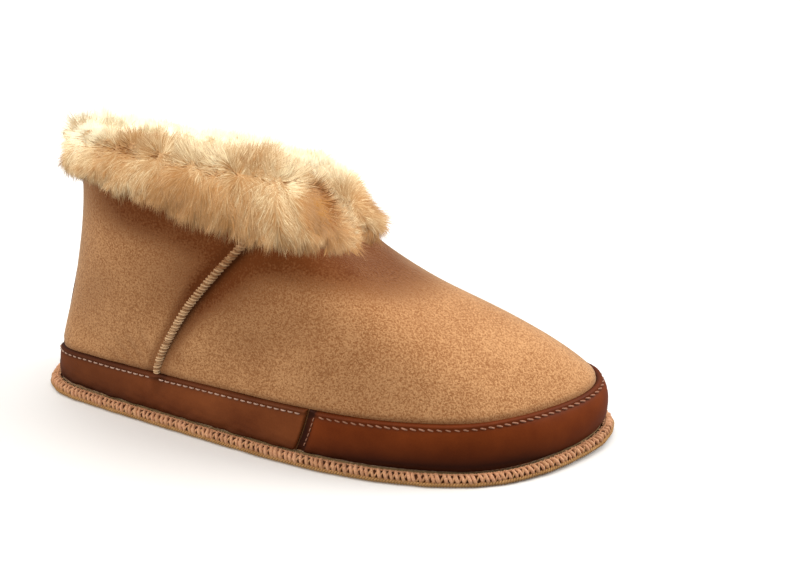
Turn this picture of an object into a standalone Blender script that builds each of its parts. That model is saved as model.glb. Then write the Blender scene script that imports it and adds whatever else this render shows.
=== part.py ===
"""Ankle-high sheepskin slipper for the right foot, built from the pieces a slipper maker sews together.

Lengths below are in millimetres and become metres when a mesh is made. +X runs to the toe, +Y to the
inner (medial) side, so -Y is the outer (lateral) side, and +Z is up. Every piece around the shoe is
worked out from two functions: sole_edge, the outline of the sole, and upper_point, the outer skin.
Both take s, which runs once round the shoe: 0 at the heel, 0.25 half way along the lateral side,
0.5 at the toe tip and back along the medial side. upper_point also takes t, 0 at the feather line,
where the skin meets the sole, and 1 at the collar.
"""

import math

import bmesh
import bpy
import numpy as np

METRE = 0.001
# Clearance between pieces that touch, and under the pieces that rest on the outsole
GAP = 0.35
SOLE_GAP = 0.3
# Move the whole shoe, so that the origin is under the middle of its box
CENTRE_X = -1.57
CENTRE_Y = 2.0

# Sole and last
SOLE_LENGTH = 262.0
# Share of that length by which the blunt heel falls short
HEEL_BLUNT = 0.012
HEEL_LATERAL = 31.0
HEEL_MEDIAL = 32.5
WAIST_LATERAL = 44.5
WAIST_MEDIAL = 36.0
BALL_LATERAL = 52.0
BALL_MEDIAL = 47.5
TOE_TIP_Y = 18.0
TOE_WIDTH = 57.0
OUTSOLE_THICK = 4.3
INSOLE_THICK = 5.5
TOE_SPRING = 1.8
TOE_SPRING_FROM = 85.0
HEEL_ROLL = 0.6
HEEL_ROLL_FROM = -112.0
ARCH_RISE = 1.2
ARCH_CENTRE_X = -22.0
ARCH_HALF_LENGTH = 52.0
ARCH_FROM_Y = -15.0
ARCH_TO_Y = 30.0
PLATE_ACROSS = 4
INSOLE_CLEARANCE = 1.0

# Sewn edge round the sole
BINDING_WIDTH = 4.2
BINDING_BOTTOM = 0.5
BINDING_TOP = 4.8
BINDING_CHAMFER = 1.3
BINDING_LIP = 0.5

# Upper: suede with the wool inside it
FEATHER_INSET = 5.0
FEATHER_Z = OUTSOLE_THICK + SOLE_GAP
WALL = 8.0
LEATHER = 1.6
AROUND = 72
UP = 14

# Leather band: where its front and rear pieces meet on both sides, and its top edge along the shoe
JOINT_TOP_X = 18.0
JOINT_FOOT_X = 11.0
BAND_FOOT_Z = FEATHER_Z + 1.0
BAND_LEVELS = 6
BAND_SIDE_PLACES = 26
BAND_FRONT_PLACES = 52
BAND_COLUMNS = ("x", "height")
BAND = [
    (-131.0, 20.0),
    (-100.0, 22.6),
    (-40.0, 24.8),
    (20.0, 26.0),
    (70.0, 26.4),
    (105.0, 26.0),
    (131.0, 24.8),
]

# One row per rib of the upper. along: how far from heel (0) to toe (1) the rib starts. collar_*: where
# it ends. foot_out, foot_up: the handle that it leaves the feather line with. down_*: the handle that
# it reaches the collar with, measured back from its end. Across is positive away from the middle.
RIB_COLUMNS = (
    "along", "collar_x", "collar_across", "collar_z",
    "foot_out", "foot_up", "down_x", "down_across", "down_z",
)
LATERAL_RIBS = [
    (0.00, -105.0, 0.0, 112.0, -5.0, 34.0, 4.0, 0.0, -36.0),
    (0.09, -98.5, 17.0, 112.5, -2.5, 34.0, 2.0, 1.0, -36.0),
    (0.22, -76.0, 29.0, 113.0, 1.5, 34.0, -2.0, 3.0, -37.0),
    (0.38, -38.0, 32.5, 111.0, 2.0, 34.0, 1.0, 5.0, -39.0),
    (0.52, -8.0, 30.0, 104.0, 2.5, 34.0, 8.0, 10.0, -37.0),
    (0.64, 6.0, 23.0, 95.0, 3.5, 34.0, 20.0, 17.0, -30.0),
    (0.76, 12.5, 15.0, 88.0, 4.5, 32.0, 34.0, 18.0, -23.0),
    (0.88, 16.5, 7.0, 83.5, 6.0, 32.0, 46.0, 10.0, -23.5),
    (1.00, 18.0, -3.0, 82.0, 10.0, 37.0, 54.0, -7.0, -27.0),
]
MEDIAL_RIBS = [
    (0.12, -96.5, 19.0, 111.5, -2.0, 34.0, 2.0, 1.5, -36.0),
    (0.25, -72.0, 31.0, 109.5, 1.0, 34.0, -2.0, 3.0, -36.0),
    (0.40, -36.0, 33.0, 106.0, 2.0, 34.0, 1.0, 4.0, -37.0),
    (0.54, -8.0, 30.0, 99.0, 2.5, 34.0, 8.0, 6.0, -34.0),
    (0.66, 6.0, 23.0, 91.5, 3.0, 32.0, 20.0, 10.0, -30.0),
    (0.78, 12.5, 17.0, 86.0, 3.5, 30.0, 34.0, 10.0, -25.5),
    (0.89, 16.5, 10.0, 83.0, 6.0, 31.0, 47.0, 9.0, -26.0),
]

# Turned-down wool cuff, pressed thin under the heel strap
CUFF_THIN = 2.5
CUFF_THIN_HALF = 8.5
CUFF_FULL_HALF = 18.0
CUFF_HEM_SHARE = 0.75
CUFF_EASE = 5
# By s: how far the cuff hangs below the collar, its thickness there, and how much higher than the plain
# crown its wool stands
CUFF_COLUMNS = ("s", "hang", "thick", "lift")
CUFF = [
    (0.000, 2.5, 8.0, 4.0),
    (0.060, 2.0, 8.5, 10.0),
    (0.120, 3.5, 9.0, 10.5),
    (0.190, 8.0, 9.0, 10.5),
    (0.260, 9.5, 9.0, 16.0),
    (0.320, 5.0, 9.0, 22.0),
    (0.380, 2.0, 7.5, 22.0),
    (0.440, 2.0, 6.0, 14.5),
    (0.500, 2.5, 7.0, 8.0),
    (0.555, 5.0, 11.0, 13.0),
    (0.610, 7.0, 11.0, 12.5),
    (0.670, 9.0, 10.0, 5.0),
    (0.730, 10.0, 9.0, -2.0),
    (0.800, 10.0, 9.0, -5.5),
    (0.875, 7.5, 9.0, -5.5),
    (0.940, 4.5, 8.5, 1.0),
]
# The cuff above the collar, seen along it: outward across the wall, and up along the skin
CUFF_CROWN_COLUMNS = ("out", "up")
CUFF_CROWN = [
    (-8.0, 0.7),
    (-9.0, 3.5),
    (-6.5, 7.0),
    (-1.5, 8.8),
    (4.0, 7.2),
    (9.0, 2.0),
]
CUFF_CROWN_TOP = 8.8
CUFF_CROWN_OUT = 9.0

# Heel strap, pull loop and side tag
STRAP_COLUMNS = ("height", "half_width")
STRAP = [
    (BAND_FOOT_Z, 12.5),
    (20.0, 10.0),
    (50.0, 7.2),
    (80.0, 6.4),
    (110.5, 6.2),
]
STRAP_THICK = 1.2
STRAP_OVER_CUFF_FROM = 97.0
STRAP_OVER_CUFF_TO = 105.0
STRAP_LEVELS = 16
STRAP_ACROSS = 5
TAG_LENGTH = 11.0
TAG_FOOT = 42.0
TAG_TOP = 54.5
TAG_THICK = 2.2
TAG_LEVELS = 3
TAG_PLACES = 5
LOOP_HALF_WIDTH_FOOT = 6.2
LOOP_HALF_WIDTH_TOP = 7.2
LOOP_ACROSS = 3
# Side view of the pull loop's leather, from its outer foot over the roll to its inner foot
LOOP_COLUMNS = ("back", "up")
LOOP = [
    (5.9, 0.3),
    (6.3, 3.4),
    (7.3, 6.2),
    (8.2, 8.0),
    (8.0, 9.4),
    (6.7, 10.0),
    (5.4, 9.2),
    (4.9, 6.3),
    (4.2, 3.6),
    (3.9, 1.2),
]


def periodic_spline(knots, rows, at, period):
    """Smooth closed curve through the rows, which sit at the knots, read at the places in at."""
    rows = np.asarray(rows, dtype=float)
    knots = np.asarray(knots, dtype=float)
    count = len(rows)
    steps = np.diff(np.append(knots, knots[0] + period))
    system = np.zeros((count, count))
    slopes = np.zeros_like(rows)
    for i in range(count):
        j = (i + 1) % count
        system[i, i - 1] += steps[i - 1]
        system[i, i] += 2.0 * (steps[i - 1] + steps[i])
        system[i, j] += steps[i]
        slopes[i] = 6.0 * ((rows[j] - rows[i]) / steps[i] - (rows[i] - rows[i - 1]) / steps[i - 1])
    bend = np.linalg.solve(system, slopes)
    place = np.mod(np.asarray(at, dtype=float) - knots[0], period)
    i = np.clip(np.searchsorted(knots - knots[0], place, side="right") - 1, 0, count - 1)
    j = (i + 1) % count
    step = steps[i][:, None]
    ahead = (place - (knots[i] - knots[0]))[:, None]
    behind = step - ahead
    return (
        (bend[i] * behind ** 3 + bend[j] * ahead ** 3) / (6.0 * step)
        + (rows[i] / step - bend[i] * step / 6.0) * behind
        + (rows[j] / step - bend[j] * step / 6.0) * ahead
    )


def make_outline():
    """The sole's outline, sampled evenly on each side: points (x, y) and outward unit normals."""
    corners = np.array([
        (HEEL_BLUNT, 0.0),
        (0.036, -0.65 * HEEL_LATERAL),
        (0.140, -HEEL_LATERAL),
        (0.400, -WAIST_LATERAL),
        (0.640, -BALL_LATERAL),
        (0.860, TOE_TIP_Y - 1.00 * TOE_WIDTH),
        (0.966, TOE_TIP_Y - 0.47 * TOE_WIDTH),
        (1.000, TOE_TIP_Y),
        (0.970, TOE_TIP_Y + 0.34 * TOE_WIDTH),
        (0.875, TOE_TIP_Y + 0.485 * TOE_WIDTH),
        (0.720, BALL_MEDIAL),
        (0.420, WAIST_MEDIAL),
        (0.140, HEEL_MEDIAL),
        (0.036, 0.65 * HEEL_MEDIAL),
    ])
    corners[:, 0] = (corners[:, 0] - 0.5) * SOLE_LENGTH
    chords = np.sqrt(np.linalg.norm(np.roll(corners, -1, 0) - corners, axis=1))
    knots = np.append(0.0, np.cumsum(chords)[:-1])
    fine = periodic_spline(knots, corners, np.linspace(0.0, chords.sum(), 4001), chords.sum())
    tip = int(fine[:, 0].argmax())
    sides = []
    for side in (fine[:tip + 1], fine[tip:]):
        length = np.append(0.0, np.cumsum(np.linalg.norm(np.diff(side, axis=0), axis=1)))
        even = np.linspace(0.0, length[-1], 361)[:-1]
        sides.append(np.column_stack([np.interp(even, length, side[:, k]) for k in (0, 1)]))
    points = np.vstack(sides)
    along = np.roll(points, -1, 0) - np.roll(points, 1, 0)
    along /= np.linalg.norm(along, axis=1)[:, None]
    return points, np.column_stack([along[:, 1], -along[:, 0]])


OUTLINE, OUTLINE_NORMALS = make_outline()


def sole_edge(s):
    """Points (x, y) of the sole's outline at s, and the outward unit normals there."""
    place = np.mod(np.asarray(s, dtype=float), 1.0) * len(OUTLINE)
    index = np.arange(len(OUTLINE) + 1)
    values = []
    for table in (OUTLINE, OUTLINE_NORMALS):
        closed = np.vstack([table, table[:1]])
        values.append(np.column_stack([np.interp(place, index, closed[:, k]) for k in (0, 1)]))
    points, normals = values
    return points, normals / np.linalg.norm(normals, axis=1)[:, None]


def column(table, columns, name):
    """One named column of a short table."""
    return np.array([row[columns.index(name)] for row in table])


def make_ribs():
    """Both sides' ribs as one table round the shoe: their s, and collar, arriving and leaving handles."""
    places = []
    rows = []
    for table, side in ((LATERAL_RIBS, -1.0), (MEDIAL_RIBS[::-1], 1.0)):
        for values in table:
            rib = dict(zip(RIB_COLUMNS, values))
            half = rib["along"] / 2.0
            places.append(half if side < 0 else 1.0 - half)
            collar = (rib["collar_x"], side * rib["collar_across"], rib["collar_z"])
            down = (rib["down_x"], side * rib["down_across"], rib["down_z"])
            rows.append(collar + down + (rib["foot_out"], rib["foot_up"]))
    return places, rows


RIB_PLACES, RIB_ROWS = make_ribs()


def upper_point(s, t):
    """The upper's outer skin: at s a rib, a cubic Bezier curve in t from feather line to collar."""
    s, t = np.broadcast_arrays(np.asarray(s, dtype=float), np.asarray(t, dtype=float))
    shape = s.shape
    edge, out = sole_edge(s.ravel())
    row = periodic_spline(RIB_PLACES, RIB_ROWS, s.ravel(), 1.0)
    collar = row[:, :3]
    arrive = collar + row[:, 3:6]
    foot_out = row[:, 6:7]
    foot_up = row[:, 7]
    foot = np.column_stack([edge - out * FEATHER_INSET, np.full(len(edge), FEATHER_Z)])
    leave = foot + np.column_stack([out * foot_out, foot_up])
    t = t.ravel()[:, None]
    r = 1.0 - t
    skin = r ** 3 * foot + 3.0 * r * r * t * leave + 3.0 * r * t * t * arrive + t ** 3 * collar
    return skin.reshape(shape + (3,))


def upper_slopes(s, t):
    """Derivatives of upper_point along s and along t."""
    step = 1e-4
    along = (upper_point(s + step, t) - upper_point(s - step, t)) / (2 * step)
    up = (upper_point(s, t + step) - upper_point(s, t - step)) / (2 * step)
    return along, up


def upper_normal(s, t):
    """Outward unit normal of the upper's skin."""
    along, up = upper_slopes(s, t)
    normal = np.cross(along, up)
    return normal / np.linalg.norm(normal, axis=-1, keepdims=True)


def upper_offset(s, t, distance):
    """The skin moved outward by distance."""
    s, t = np.broadcast_arrays(np.asarray(s, dtype=float), np.asarray(t, dtype=float))
    distance = np.broadcast_to(distance, s.shape)
    return upper_point(s, t) + upper_normal(s, t) * distance[..., None]


def t_at_height(s, height):
    """The t at which the rib at s passes a height, for arrays of the same shape."""
    s, height = np.broadcast_arrays(np.asarray(s, dtype=float), np.asarray(height, dtype=float))
    levels = np.linspace(0.0, 1.0, 201)
    found = [
        np.interp(h, upper_point(np.full(levels.shape, place), levels)[:, 2], levels)
        for place, h in zip(s.ravel(), height.ravel())
    ]
    return np.array(found).reshape(s.shape)


def smooth(value, low, high):
    """0 below low, 1 above high, and smooth between."""
    ratio = np.clip((np.asarray(value, dtype=float) - low) / (high - low), 0.0, 1.0)
    return ratio * ratio * (3.0 - 2.0 * ratio)


def settle(points):
    """Toe spring, heel roll and arch, as a small rise of all that stands above them, then centring."""
    points = np.array(points, dtype=float)
    x = points[..., 0]
    y = points[..., 1]
    half = SOLE_LENGTH / 2.0
    toe = np.clip((x - TOE_SPRING_FROM) / (half - TOE_SPRING_FROM), 0.0, None)
    heel = np.clip((x - HEEL_ROLL_FROM) / (-half - HEEL_ROLL_FROM), 0.0, None)
    waist = np.clip(1.0 - ((x - ARCH_CENTRE_X) / ARCH_HALF_LENGTH) ** 2, 0.0, None)
    points[..., 2] += TOE_SPRING * toe ** 2 + HEEL_ROLL * heel ** 2
    points[..., 2] += ARCH_RISE * waist ** 2 * smooth(y, ARCH_FROM_Y, ARCH_TO_Y)
    points[..., 0] += CENTRE_X
    points[..., 1] += CENTRE_Y
    return points


def clear_scene():
    """Empty the scene."""
    for obj in list(bpy.data.objects):
        bpy.data.objects.remove(obj, do_unlink=True)


def make_material(name, colour, roughness):
    """A plain Principled BSDF material."""
    material = bpy.data.materials.new(name)
    material.use_nodes = True
    shader = material.node_tree.nodes["Principled BSDF"]
    shader.inputs["Base Color"].default_value = (*colour, 1.0)
    shader.inputs["Roughness"].default_value = roughness
    shader.inputs["Metallic"].default_value = 0.0
    material.diffuse_color = (*colour, 1.0)
    return material


def add_object(name, collection, grid, faces, material):
    """A mesh object from a grid of points in millimetres and its faces."""
    vertices = settle(grid).reshape(-1, 3) * METRE
    mesh = bpy.data.meshes.new(name)
    mesh.from_pydata(vertices.tolist(), [], faces)
    mesh.validate()
    obj = bpy.data.objects.new(name, mesh)
    collection.objects.link(obj)
    mesh.materials.append(material)
    mesh.shade_smooth()
    mesh.set_sharp_from_angle(angle=math.radians(40.0))
    return obj


def thicken(obj, thickness, offset):
    """Give an open sheet its thickness: outward for offset 1, both ways for offset 0."""
    solid = obj.modifiers.new("thickness", "SOLIDIFY")
    solid.thickness = thickness * METRE
    solid.offset = offset
    solid.use_even_offset = True


def add_ring(name, collection, sections, material):
    """A solid that closes on itself round the shoe: sections holds one closed outline for each place."""
    places, corners = sections.shape[:2]
    faces = []
    for i in range(places):
        here = i * corners
        ahead = (i + 1) % places * corners
        for j in range(corners):
            above = (j + 1) % corners
            faces.append((here + j, ahead + j, ahead + above, here + above))
    obj = add_object(name, collection, sections, faces, material)
    shell = bmesh.new()
    shell.from_mesh(obj.data)
    bmesh.ops.recalc_face_normals(shell, faces=shell.faces)
    shell.to_mesh(obj.data)
    shell.free()
    return obj


def add_sheet(name, collection, grid, thickness, material, offset=1.0):
    """A patch of leather: a grid of points, its outside facing out, given its thickness by Solidify."""
    rows, columns = grid.shape[:2]
    faces = []
    for i in range(rows - 1):
        for j in range(columns - 1):
            corner = i * columns + j
            faces.append((corner, corner + columns, corner + columns + 1, corner + 1))
    obj = add_object(name, collection, grid, faces, material)
    thicken(obj, thickness, offset)
    return obj


def add_plate(name, collection, inset, foot, thickness, material):
    """A sole layer: rows straight across between equal distances along the two sides, thickened."""
    halves = AROUND // 2
    across = PLATE_ACROSS
    along = np.arange(1, halves) / AROUND
    lateral, lateral_out = sole_edge(along)
    medial, medial_out = sole_edge(1.0 - along)
    ends, ends_out = sole_edge(np.array([0.0, 0.5]))
    lateral = lateral - lateral_out * inset
    medial = medial - medial_out * inset
    ends = ends - ends_out * inset
    blend = np.linspace(0.0, 1.0, across + 1)[None, :, None]
    rows = (lateral[:, None] * (1 - blend) + medial[:, None] * blend).reshape(-1, 2)
    flat = np.vstack([rows, ends])
    heel = len(rows)
    toe = heel + 1
    width = across + 1
    last = (halves - 2) * width
    faces = []
    for i in range(halves - 2):
        for j in range(across):
            corner = i * width + j
            faces.append((corner, corner + width, corner + width + 1, corner + 1))
    for j in range(across):
        faces.append((heel, j, j + 1))
        faces.append((last + j, toe, last + j + 1))
    grid = np.column_stack([flat, np.full(len(flat), foot)])
    obj = add_object(name, collection, grid, faces, material)
    thicken(obj, thickness, 1.0)
    return obj


def stations():
    """The places round the shoe at which the ring-shaped pieces have a section."""
    return np.arange(AROUND) / AROUND


def build_edge_binding(collection, material):
    """The overlocked edge: a bar round the sole plate, its inner top leaning away from the leather."""
    edge, out = sole_edge(stations())
    cut = BINDING_CHAMFER
    profile = [
        (0.0, BINDING_BOTTOM + cut),
        (0.0, BINDING_TOP - cut),
        (cut, BINDING_TOP),
        (BINDING_WIDTH - cut, BINDING_TOP),
        (BINDING_WIDTH, BINDING_TOP - BINDING_LIP),
        (BINDING_WIDTH, BINDING_BOTTOM + BINDING_LIP),
        (BINDING_WIDTH - BINDING_LIP, BINDING_BOTTOM),
        (cut, BINDING_BOTTOM),
    ]
    sections = np.array([
        np.column_stack([edge - out * inset, np.full(len(edge), height)]) for inset, height in profile
    ]).transpose(1, 0, 2)
    return add_ring("edge_binding", collection, sections, material)


def build_upper(collection, material):
    """One hollow wall of suede and packed wool, open at the collar and underneath."""
    s = stations()[:, None]
    t = np.linspace(0.0, 1.0, UP + 1)[None, :]
    outside = upper_offset(s, t, 0.0)
    inside = upper_offset(s, t, -WALL)
    inside[..., 2] = np.maximum(inside[..., 2], FEATHER_Z)
    sections = np.concatenate([outside, inside[:, ::-1]], axis=1)
    return add_ring("upper", collection, sections, material)


def cuff_thickness(s, body):
    """Thickness of the cuff's hanging part at s: its body's, pressed thin under the heel strap."""
    along, _ = upper_slopes(s, np.ones_like(s))
    reach = np.minimum(s, 1.0 - s) * np.linalg.norm(along, axis=-1)
    return CUFF_THIN + (body - CUFF_THIN) * smooth(reach, CUFF_THIN_HALF, CUFF_FULL_HALF)


def ease(rows, passes):
    """Rows round the shoe, each pass averaging every row with its two neighbours."""
    for _ in range(passes):
        rows = 0.25 * np.roll(rows, 1, 0) + 0.5 * rows + 0.25 * np.roll(rows, -1, 0)
    return rows


def build_fur_cuff(collection, material):
    """The turned-down collar: a ring of thick wool that sits on the wall and hangs down outside it."""
    s = stations()
    collar = upper_point(s, np.ones_like(s))
    _, rise = upper_slopes(s, np.ones_like(s))
    speed = np.linalg.norm(rise, axis=1)
    up = rise / speed[:, None]
    normal = upper_normal(s, np.ones_like(s))
    out = ease(normal, CUFF_EASE)
    out -= up * (out * up).sum(1)[:, None]
    out /= np.linalg.norm(out, axis=1)[:, None]
    row = periodic_spline(column(CUFF, CUFF_COLUMNS, "s"), CUFF, s, 1.0)
    hang = row[:, CUFF_COLUMNS.index("hang")]
    lift = np.outer(row[:, CUFF_COLUMNS.index("lift")], (0.0, 0.0, 1.0))
    thick = cuff_thickness(s, row[:, CUFF_COLUMNS.index("thick")])
    low = 1.0 - hang / speed
    middle = 1.0 - 0.5 * hang / speed
    hem = upper_offset(s, low, GAP)
    belly = upper_offset(s, middle, GAP)
    corners = [hem, belly, collar + GAP * (normal + up)]
    for corner in CUFF_CROWN:
        across = corner[CUFF_CROWN_COLUMNS.index("out")]
        above = corner[CUFF_CROWN_COLUMNS.index("up")]
        squeeze = np.where(across > 0, thick / CUFF_CROWN_OUT, 1.0)
        plain = collar + out * (across * squeeze)[:, None] + up * above
        corners.append(plain + lift * (above / CUFF_CROWN_TOP))
    corners.append(belly + out * thick[:, None])
    corners.append(hem + out * (CUFF_HEM_SHARE * thick)[:, None])
    return add_ring("fur_cuff", collection, np.array(corners).transpose(1, 0, 2), material)


def side_place(x, height, medial):
    """The s on one side at which the skin passes x at a height."""
    places = np.linspace(0.02, 0.48, 93)
    if medial:
        places = 1.0 - places
    heights = np.full(places.shape, height)
    skin = upper_point(places, t_at_height(places, heights))
    return float(np.interp(x, skin[:, 0], places))


def strap_span(height):
    """At a height on the heel: half the strap's width as s, and how many millimetres one unit of s is."""
    heights = column(STRAP, STRAP_COLUMNS, "height")
    half = np.interp(height, heights, column(STRAP, STRAP_COLUMNS, "half_width"))
    level = t_at_height(np.zeros(1), np.full(1, height))
    along, _ = upper_slopes(np.zeros(1), level)
    rate = float(np.linalg.norm(along[0]))
    return float(half) / rate, rate


def band_height(x):
    """Height of the leather band's top edge where the sole's outline passes x."""
    return np.interp(x, column(BAND, BAND_COLUMNS, "x"), column(BAND, BAND_COLUMNS, "height"))


def band_piece(name, collection, start, finish, places, material):
    """A piece of the leather band between two slanted ends, given as s at its foot and at its top."""
    levels = np.linspace(0.0, 1.0, BAND_LEVELS)
    ratio = np.linspace(0.0, 1.0, places)[:, None]
    first = start[0] + (start[1] - start[0]) * levels
    last = finish[0] + (finish[1] - finish[0]) * levels
    s = first[None, :] * (1 - ratio) + last[None, :] * ratio
    edge, _ = sole_edge(s.ravel())
    top = band_height(edge[:, 0]).reshape(s.shape)
    height = BAND_FOOT_Z + (top - BAND_FOOT_Z) * levels[None, :]
    grid = upper_offset(s, t_at_height(s, height), GAP)
    return add_sheet(name, collection, grid, LEATHER, material)


def build_bands(collection, material):
    """The leather band round the foot of the upper: one piece at the toe and one on each side behind."""
    strap_edge = []
    for height in (BAND_FOOT_Z, float(band_height(-SOLE_LENGTH / 2.0))):
        half, rate = strap_span(height)
        strap_edge.append(half + GAP / rate)
    half_gap = 0.5 * GAP / (2.0 * SOLE_LENGTH)
    before = {}
    after = {}
    for medial in (False, True):
        foot = side_place(JOINT_FOOT_X, BAND_FOOT_Z, medial)
        top = side_place(JOINT_TOP_X, float(band_height(JOINT_TOP_X)), medial)
        before[medial] = (foot - half_gap, top - half_gap)
        after[medial] = (foot + half_gap, top + half_gap)
    ends = [
        ("band_rear_lateral", strap_edge, before[False], BAND_SIDE_PLACES),
        ("band_front", after[False], before[True], BAND_FRONT_PLACES),
        ("band_rear_medial", after[True], [1.0 - place for place in strap_edge], BAND_SIDE_PLACES),
    ]
    for name, start, finish, places in ends:
        band_piece(name, collection, start, finish, places, material)


def build_heel_strap(collection, material):
    """The leather strip up the back of the heel, wide at its foot, passing over the thin of the cuff."""
    heights = column(STRAP, STRAP_COLUMNS, "height")
    heights = np.linspace(heights[0], heights[-1], STRAP_LEVELS)
    across = np.linspace(1.0, -1.0, STRAP_ACROSS)
    half = np.array([strap_span(height)[0] for height in heights])
    s = -across[:, None] * half[None, :]
    level = t_at_height(np.zeros(len(heights)), heights)
    t = np.broadcast_to(level[None, :], s.shape)
    over = (CUFF_THIN + GAP) * smooth(heights, STRAP_OVER_CUFF_FROM, STRAP_OVER_CUFF_TO)
    grid = upper_offset(s, t, np.broadcast_to(GAP + over, s.shape))
    return add_sheet("heel_strap", collection, grid, STRAP_THICK, material)


def build_pull_loop(collection, material):
    """The loop above the strap: one strip of leather folded over, leaning back."""
    strap_top = STRAP[-1][STRAP_COLUMNS.index("height")]
    root = upper_point(np.zeros(1), t_at_height(np.zeros(1), np.full(1, strap_top)))[0]
    back = column(LOOP, LOOP_COLUMNS, "back")
    up = column(LOOP, LOOP_COLUMNS, "up")
    half = LOOP_HALF_WIDTH_FOOT + (LOOP_HALF_WIDTH_TOP - LOOP_HALF_WIDTH_FOOT) * up / up.max()
    across = np.linspace(1.0, -1.0, LOOP_ACROSS)
    grid = np.zeros((len(across), len(up), 3))
    grid[..., 0] = root[0] - back
    grid[..., 1] = root[1] + across[:, None] * half[None, :]
    grid[..., 2] = root[2] + up
    return add_sheet("pull_loop", collection, grid, LEATHER, material, offset=0.0)


def build_side_tag(collection, material):
    """The small folded tab on the medial side, sewn in at the strap's edge."""
    heights = np.linspace(TAG_FOOT, TAG_TOP, TAG_LEVELS)
    ratio = np.linspace(1.0, 0.0, TAG_PLACES)
    s = np.zeros((len(ratio), len(heights)))
    for k, height in enumerate(heights):
        half, rate = strap_span(height)
        near = half + 2.0 * GAP / rate
        s[:, k] = 1.0 - (near + ratio * TAG_LENGTH / rate)
    grid = upper_offset(s, t_at_height(s, np.broadcast_to(heights, s.shape)), GAP)
    return add_sheet("side_tag", collection, grid, TAG_THICK, material)


def main():
    """Build every piece of the slipper."""
    clear_scene()
    slipper = bpy.data.collections.new("sheepskin_slipper")
    bpy.context.scene.collection.children.link(slipper)
    suede = make_material("tan_suede", (0.42, 0.22, 0.10), 0.9)
    leather = make_material("brown_leather", (0.16, 0.055, 0.025), 0.45)
    wool = make_material("cream_wool", (0.78, 0.62, 0.42), 0.95)
    thread = make_material("tan_thread", (0.45, 0.27, 0.16), 0.8)
    sole = make_material("sole_suede", (0.40, 0.27, 0.14), 0.9)
    add_plate("outsole", slipper, BINDING_WIDTH + SOLE_GAP, 0.0, OUTSOLE_THICK, sole)
    build_edge_binding(slipper, thread)
    insole_inset = FEATHER_INSET + WALL + INSOLE_CLEARANCE
    add_plate("insole", slipper, insole_inset, FEATHER_Z, INSOLE_THICK, wool)
    build_upper(slipper, suede)
    build_fur_cuff(slipper, wool)
    build_bands(slipper, leather)
    build_heel_strap(slipper, leather)
    build_pull_loop(slipper, leather)
    build_side_tag(slipper, leather)


main()
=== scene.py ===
"""Sheepskin slipper for the right foot: suede, wool, leather band and thread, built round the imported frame.

Lengths inside the shape functions are millimetres and become metres when a mesh is made. +X runs to the
toe, +Y to the inner (medial) side and +Z up. s runs once round the shoe, 0 at the heel, 0.25 half way
along the outer (lateral) side, 0.5 at the toe tip. t runs up the skin, 0 at the feather line and 1 at
the collar. lift is a distance outward from the skin.
"""

import math
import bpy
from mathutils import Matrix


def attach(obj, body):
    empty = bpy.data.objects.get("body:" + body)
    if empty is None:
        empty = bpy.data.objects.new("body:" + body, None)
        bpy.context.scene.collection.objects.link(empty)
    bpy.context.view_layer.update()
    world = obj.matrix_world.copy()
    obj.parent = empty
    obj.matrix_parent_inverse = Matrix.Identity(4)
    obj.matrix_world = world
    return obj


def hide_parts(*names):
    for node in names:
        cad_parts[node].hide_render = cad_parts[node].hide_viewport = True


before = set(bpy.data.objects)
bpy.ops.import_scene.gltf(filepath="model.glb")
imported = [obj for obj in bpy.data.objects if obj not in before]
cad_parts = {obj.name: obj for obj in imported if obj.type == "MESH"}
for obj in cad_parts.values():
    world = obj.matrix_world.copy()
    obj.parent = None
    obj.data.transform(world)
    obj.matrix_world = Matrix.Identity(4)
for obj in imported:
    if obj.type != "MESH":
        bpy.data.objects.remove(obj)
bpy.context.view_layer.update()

from types import SimpleNamespace

import bpy
import numpy as np
from bpy.props import FloatProperty, FloatVectorProperty, IntProperty, PointerProperty
from mathutils import Matrix, Vector

bl_info = {
    "name": "Sheepskin Slipper",
    "version": (1, 0, 0),
    "blender": (4, 5, 0),
    "location": "View3D > Sidebar > Slipper",
    "description": "Builds the detailed surfaces of a sheepskin slipper round its solid frame",
    "category": "Add Mesh",
}

METRE = 0.001
BODY = "root"
BLACK = (0.0, 0.0, 0.0)
WHITE = (1.0, 1.0, 1.0)
UPWARD = np.array([0.0, 0.0, 1.0])

# ---------------------------------------------------------------------------------------------------
# The slipper's named sizes, in millimetres
# ---------------------------------------------------------------------------------------------------

CENTRE_X = -1.57
CENTRE_Y = 2.0
SOLE_LENGTH = 262.0
HEEL_BLUNT = 0.012
HEEL_LATERAL = 31.0
HEEL_MEDIAL = 32.5
WAIST_LATERAL = 44.5
WAIST_MEDIAL = 36.0
BALL_LATERAL = 52.0
BALL_MEDIAL = 47.5
TOE_TIP_Y = 18.0
TOE_WIDTH = 57.0
OUTSOLE_THICK = 4.3
INSOLE_THICK = 5.5
TOE_SPRING = 1.8
TOE_SPRING_FROM = 85.0
HEEL_ROLL = 0.6
HEEL_ROLL_FROM = -112.0
ARCH_RISE = 1.2
ARCH_CENTRE_X = -22.0
ARCH_HALF_LENGTH = 52.0
ARCH_FROM_Y = -15.0
ARCH_TO_Y = 30.0
FEATHER_INSET = 5.0
FEATHER_Z = 4.6
WALL = 8.0
SUEDE_THICK = 1.6
LEATHER = 1.6
GAP = 0.35
BAND_FOOT_Z = 5.6
JOINT_TOP_X = 18.0
JOINT_FOOT_X = 11.0

BAND_COLUMNS = ("x", "height")
BAND = [
    (-131.0, 20.0),
    (-100.0, 22.6),
    (-40.0, 24.8),
    (20.0, 26.0),
    (70.0, 26.4),
    (105.0, 26.0),
    (131.0, 24.8),
]

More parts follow.
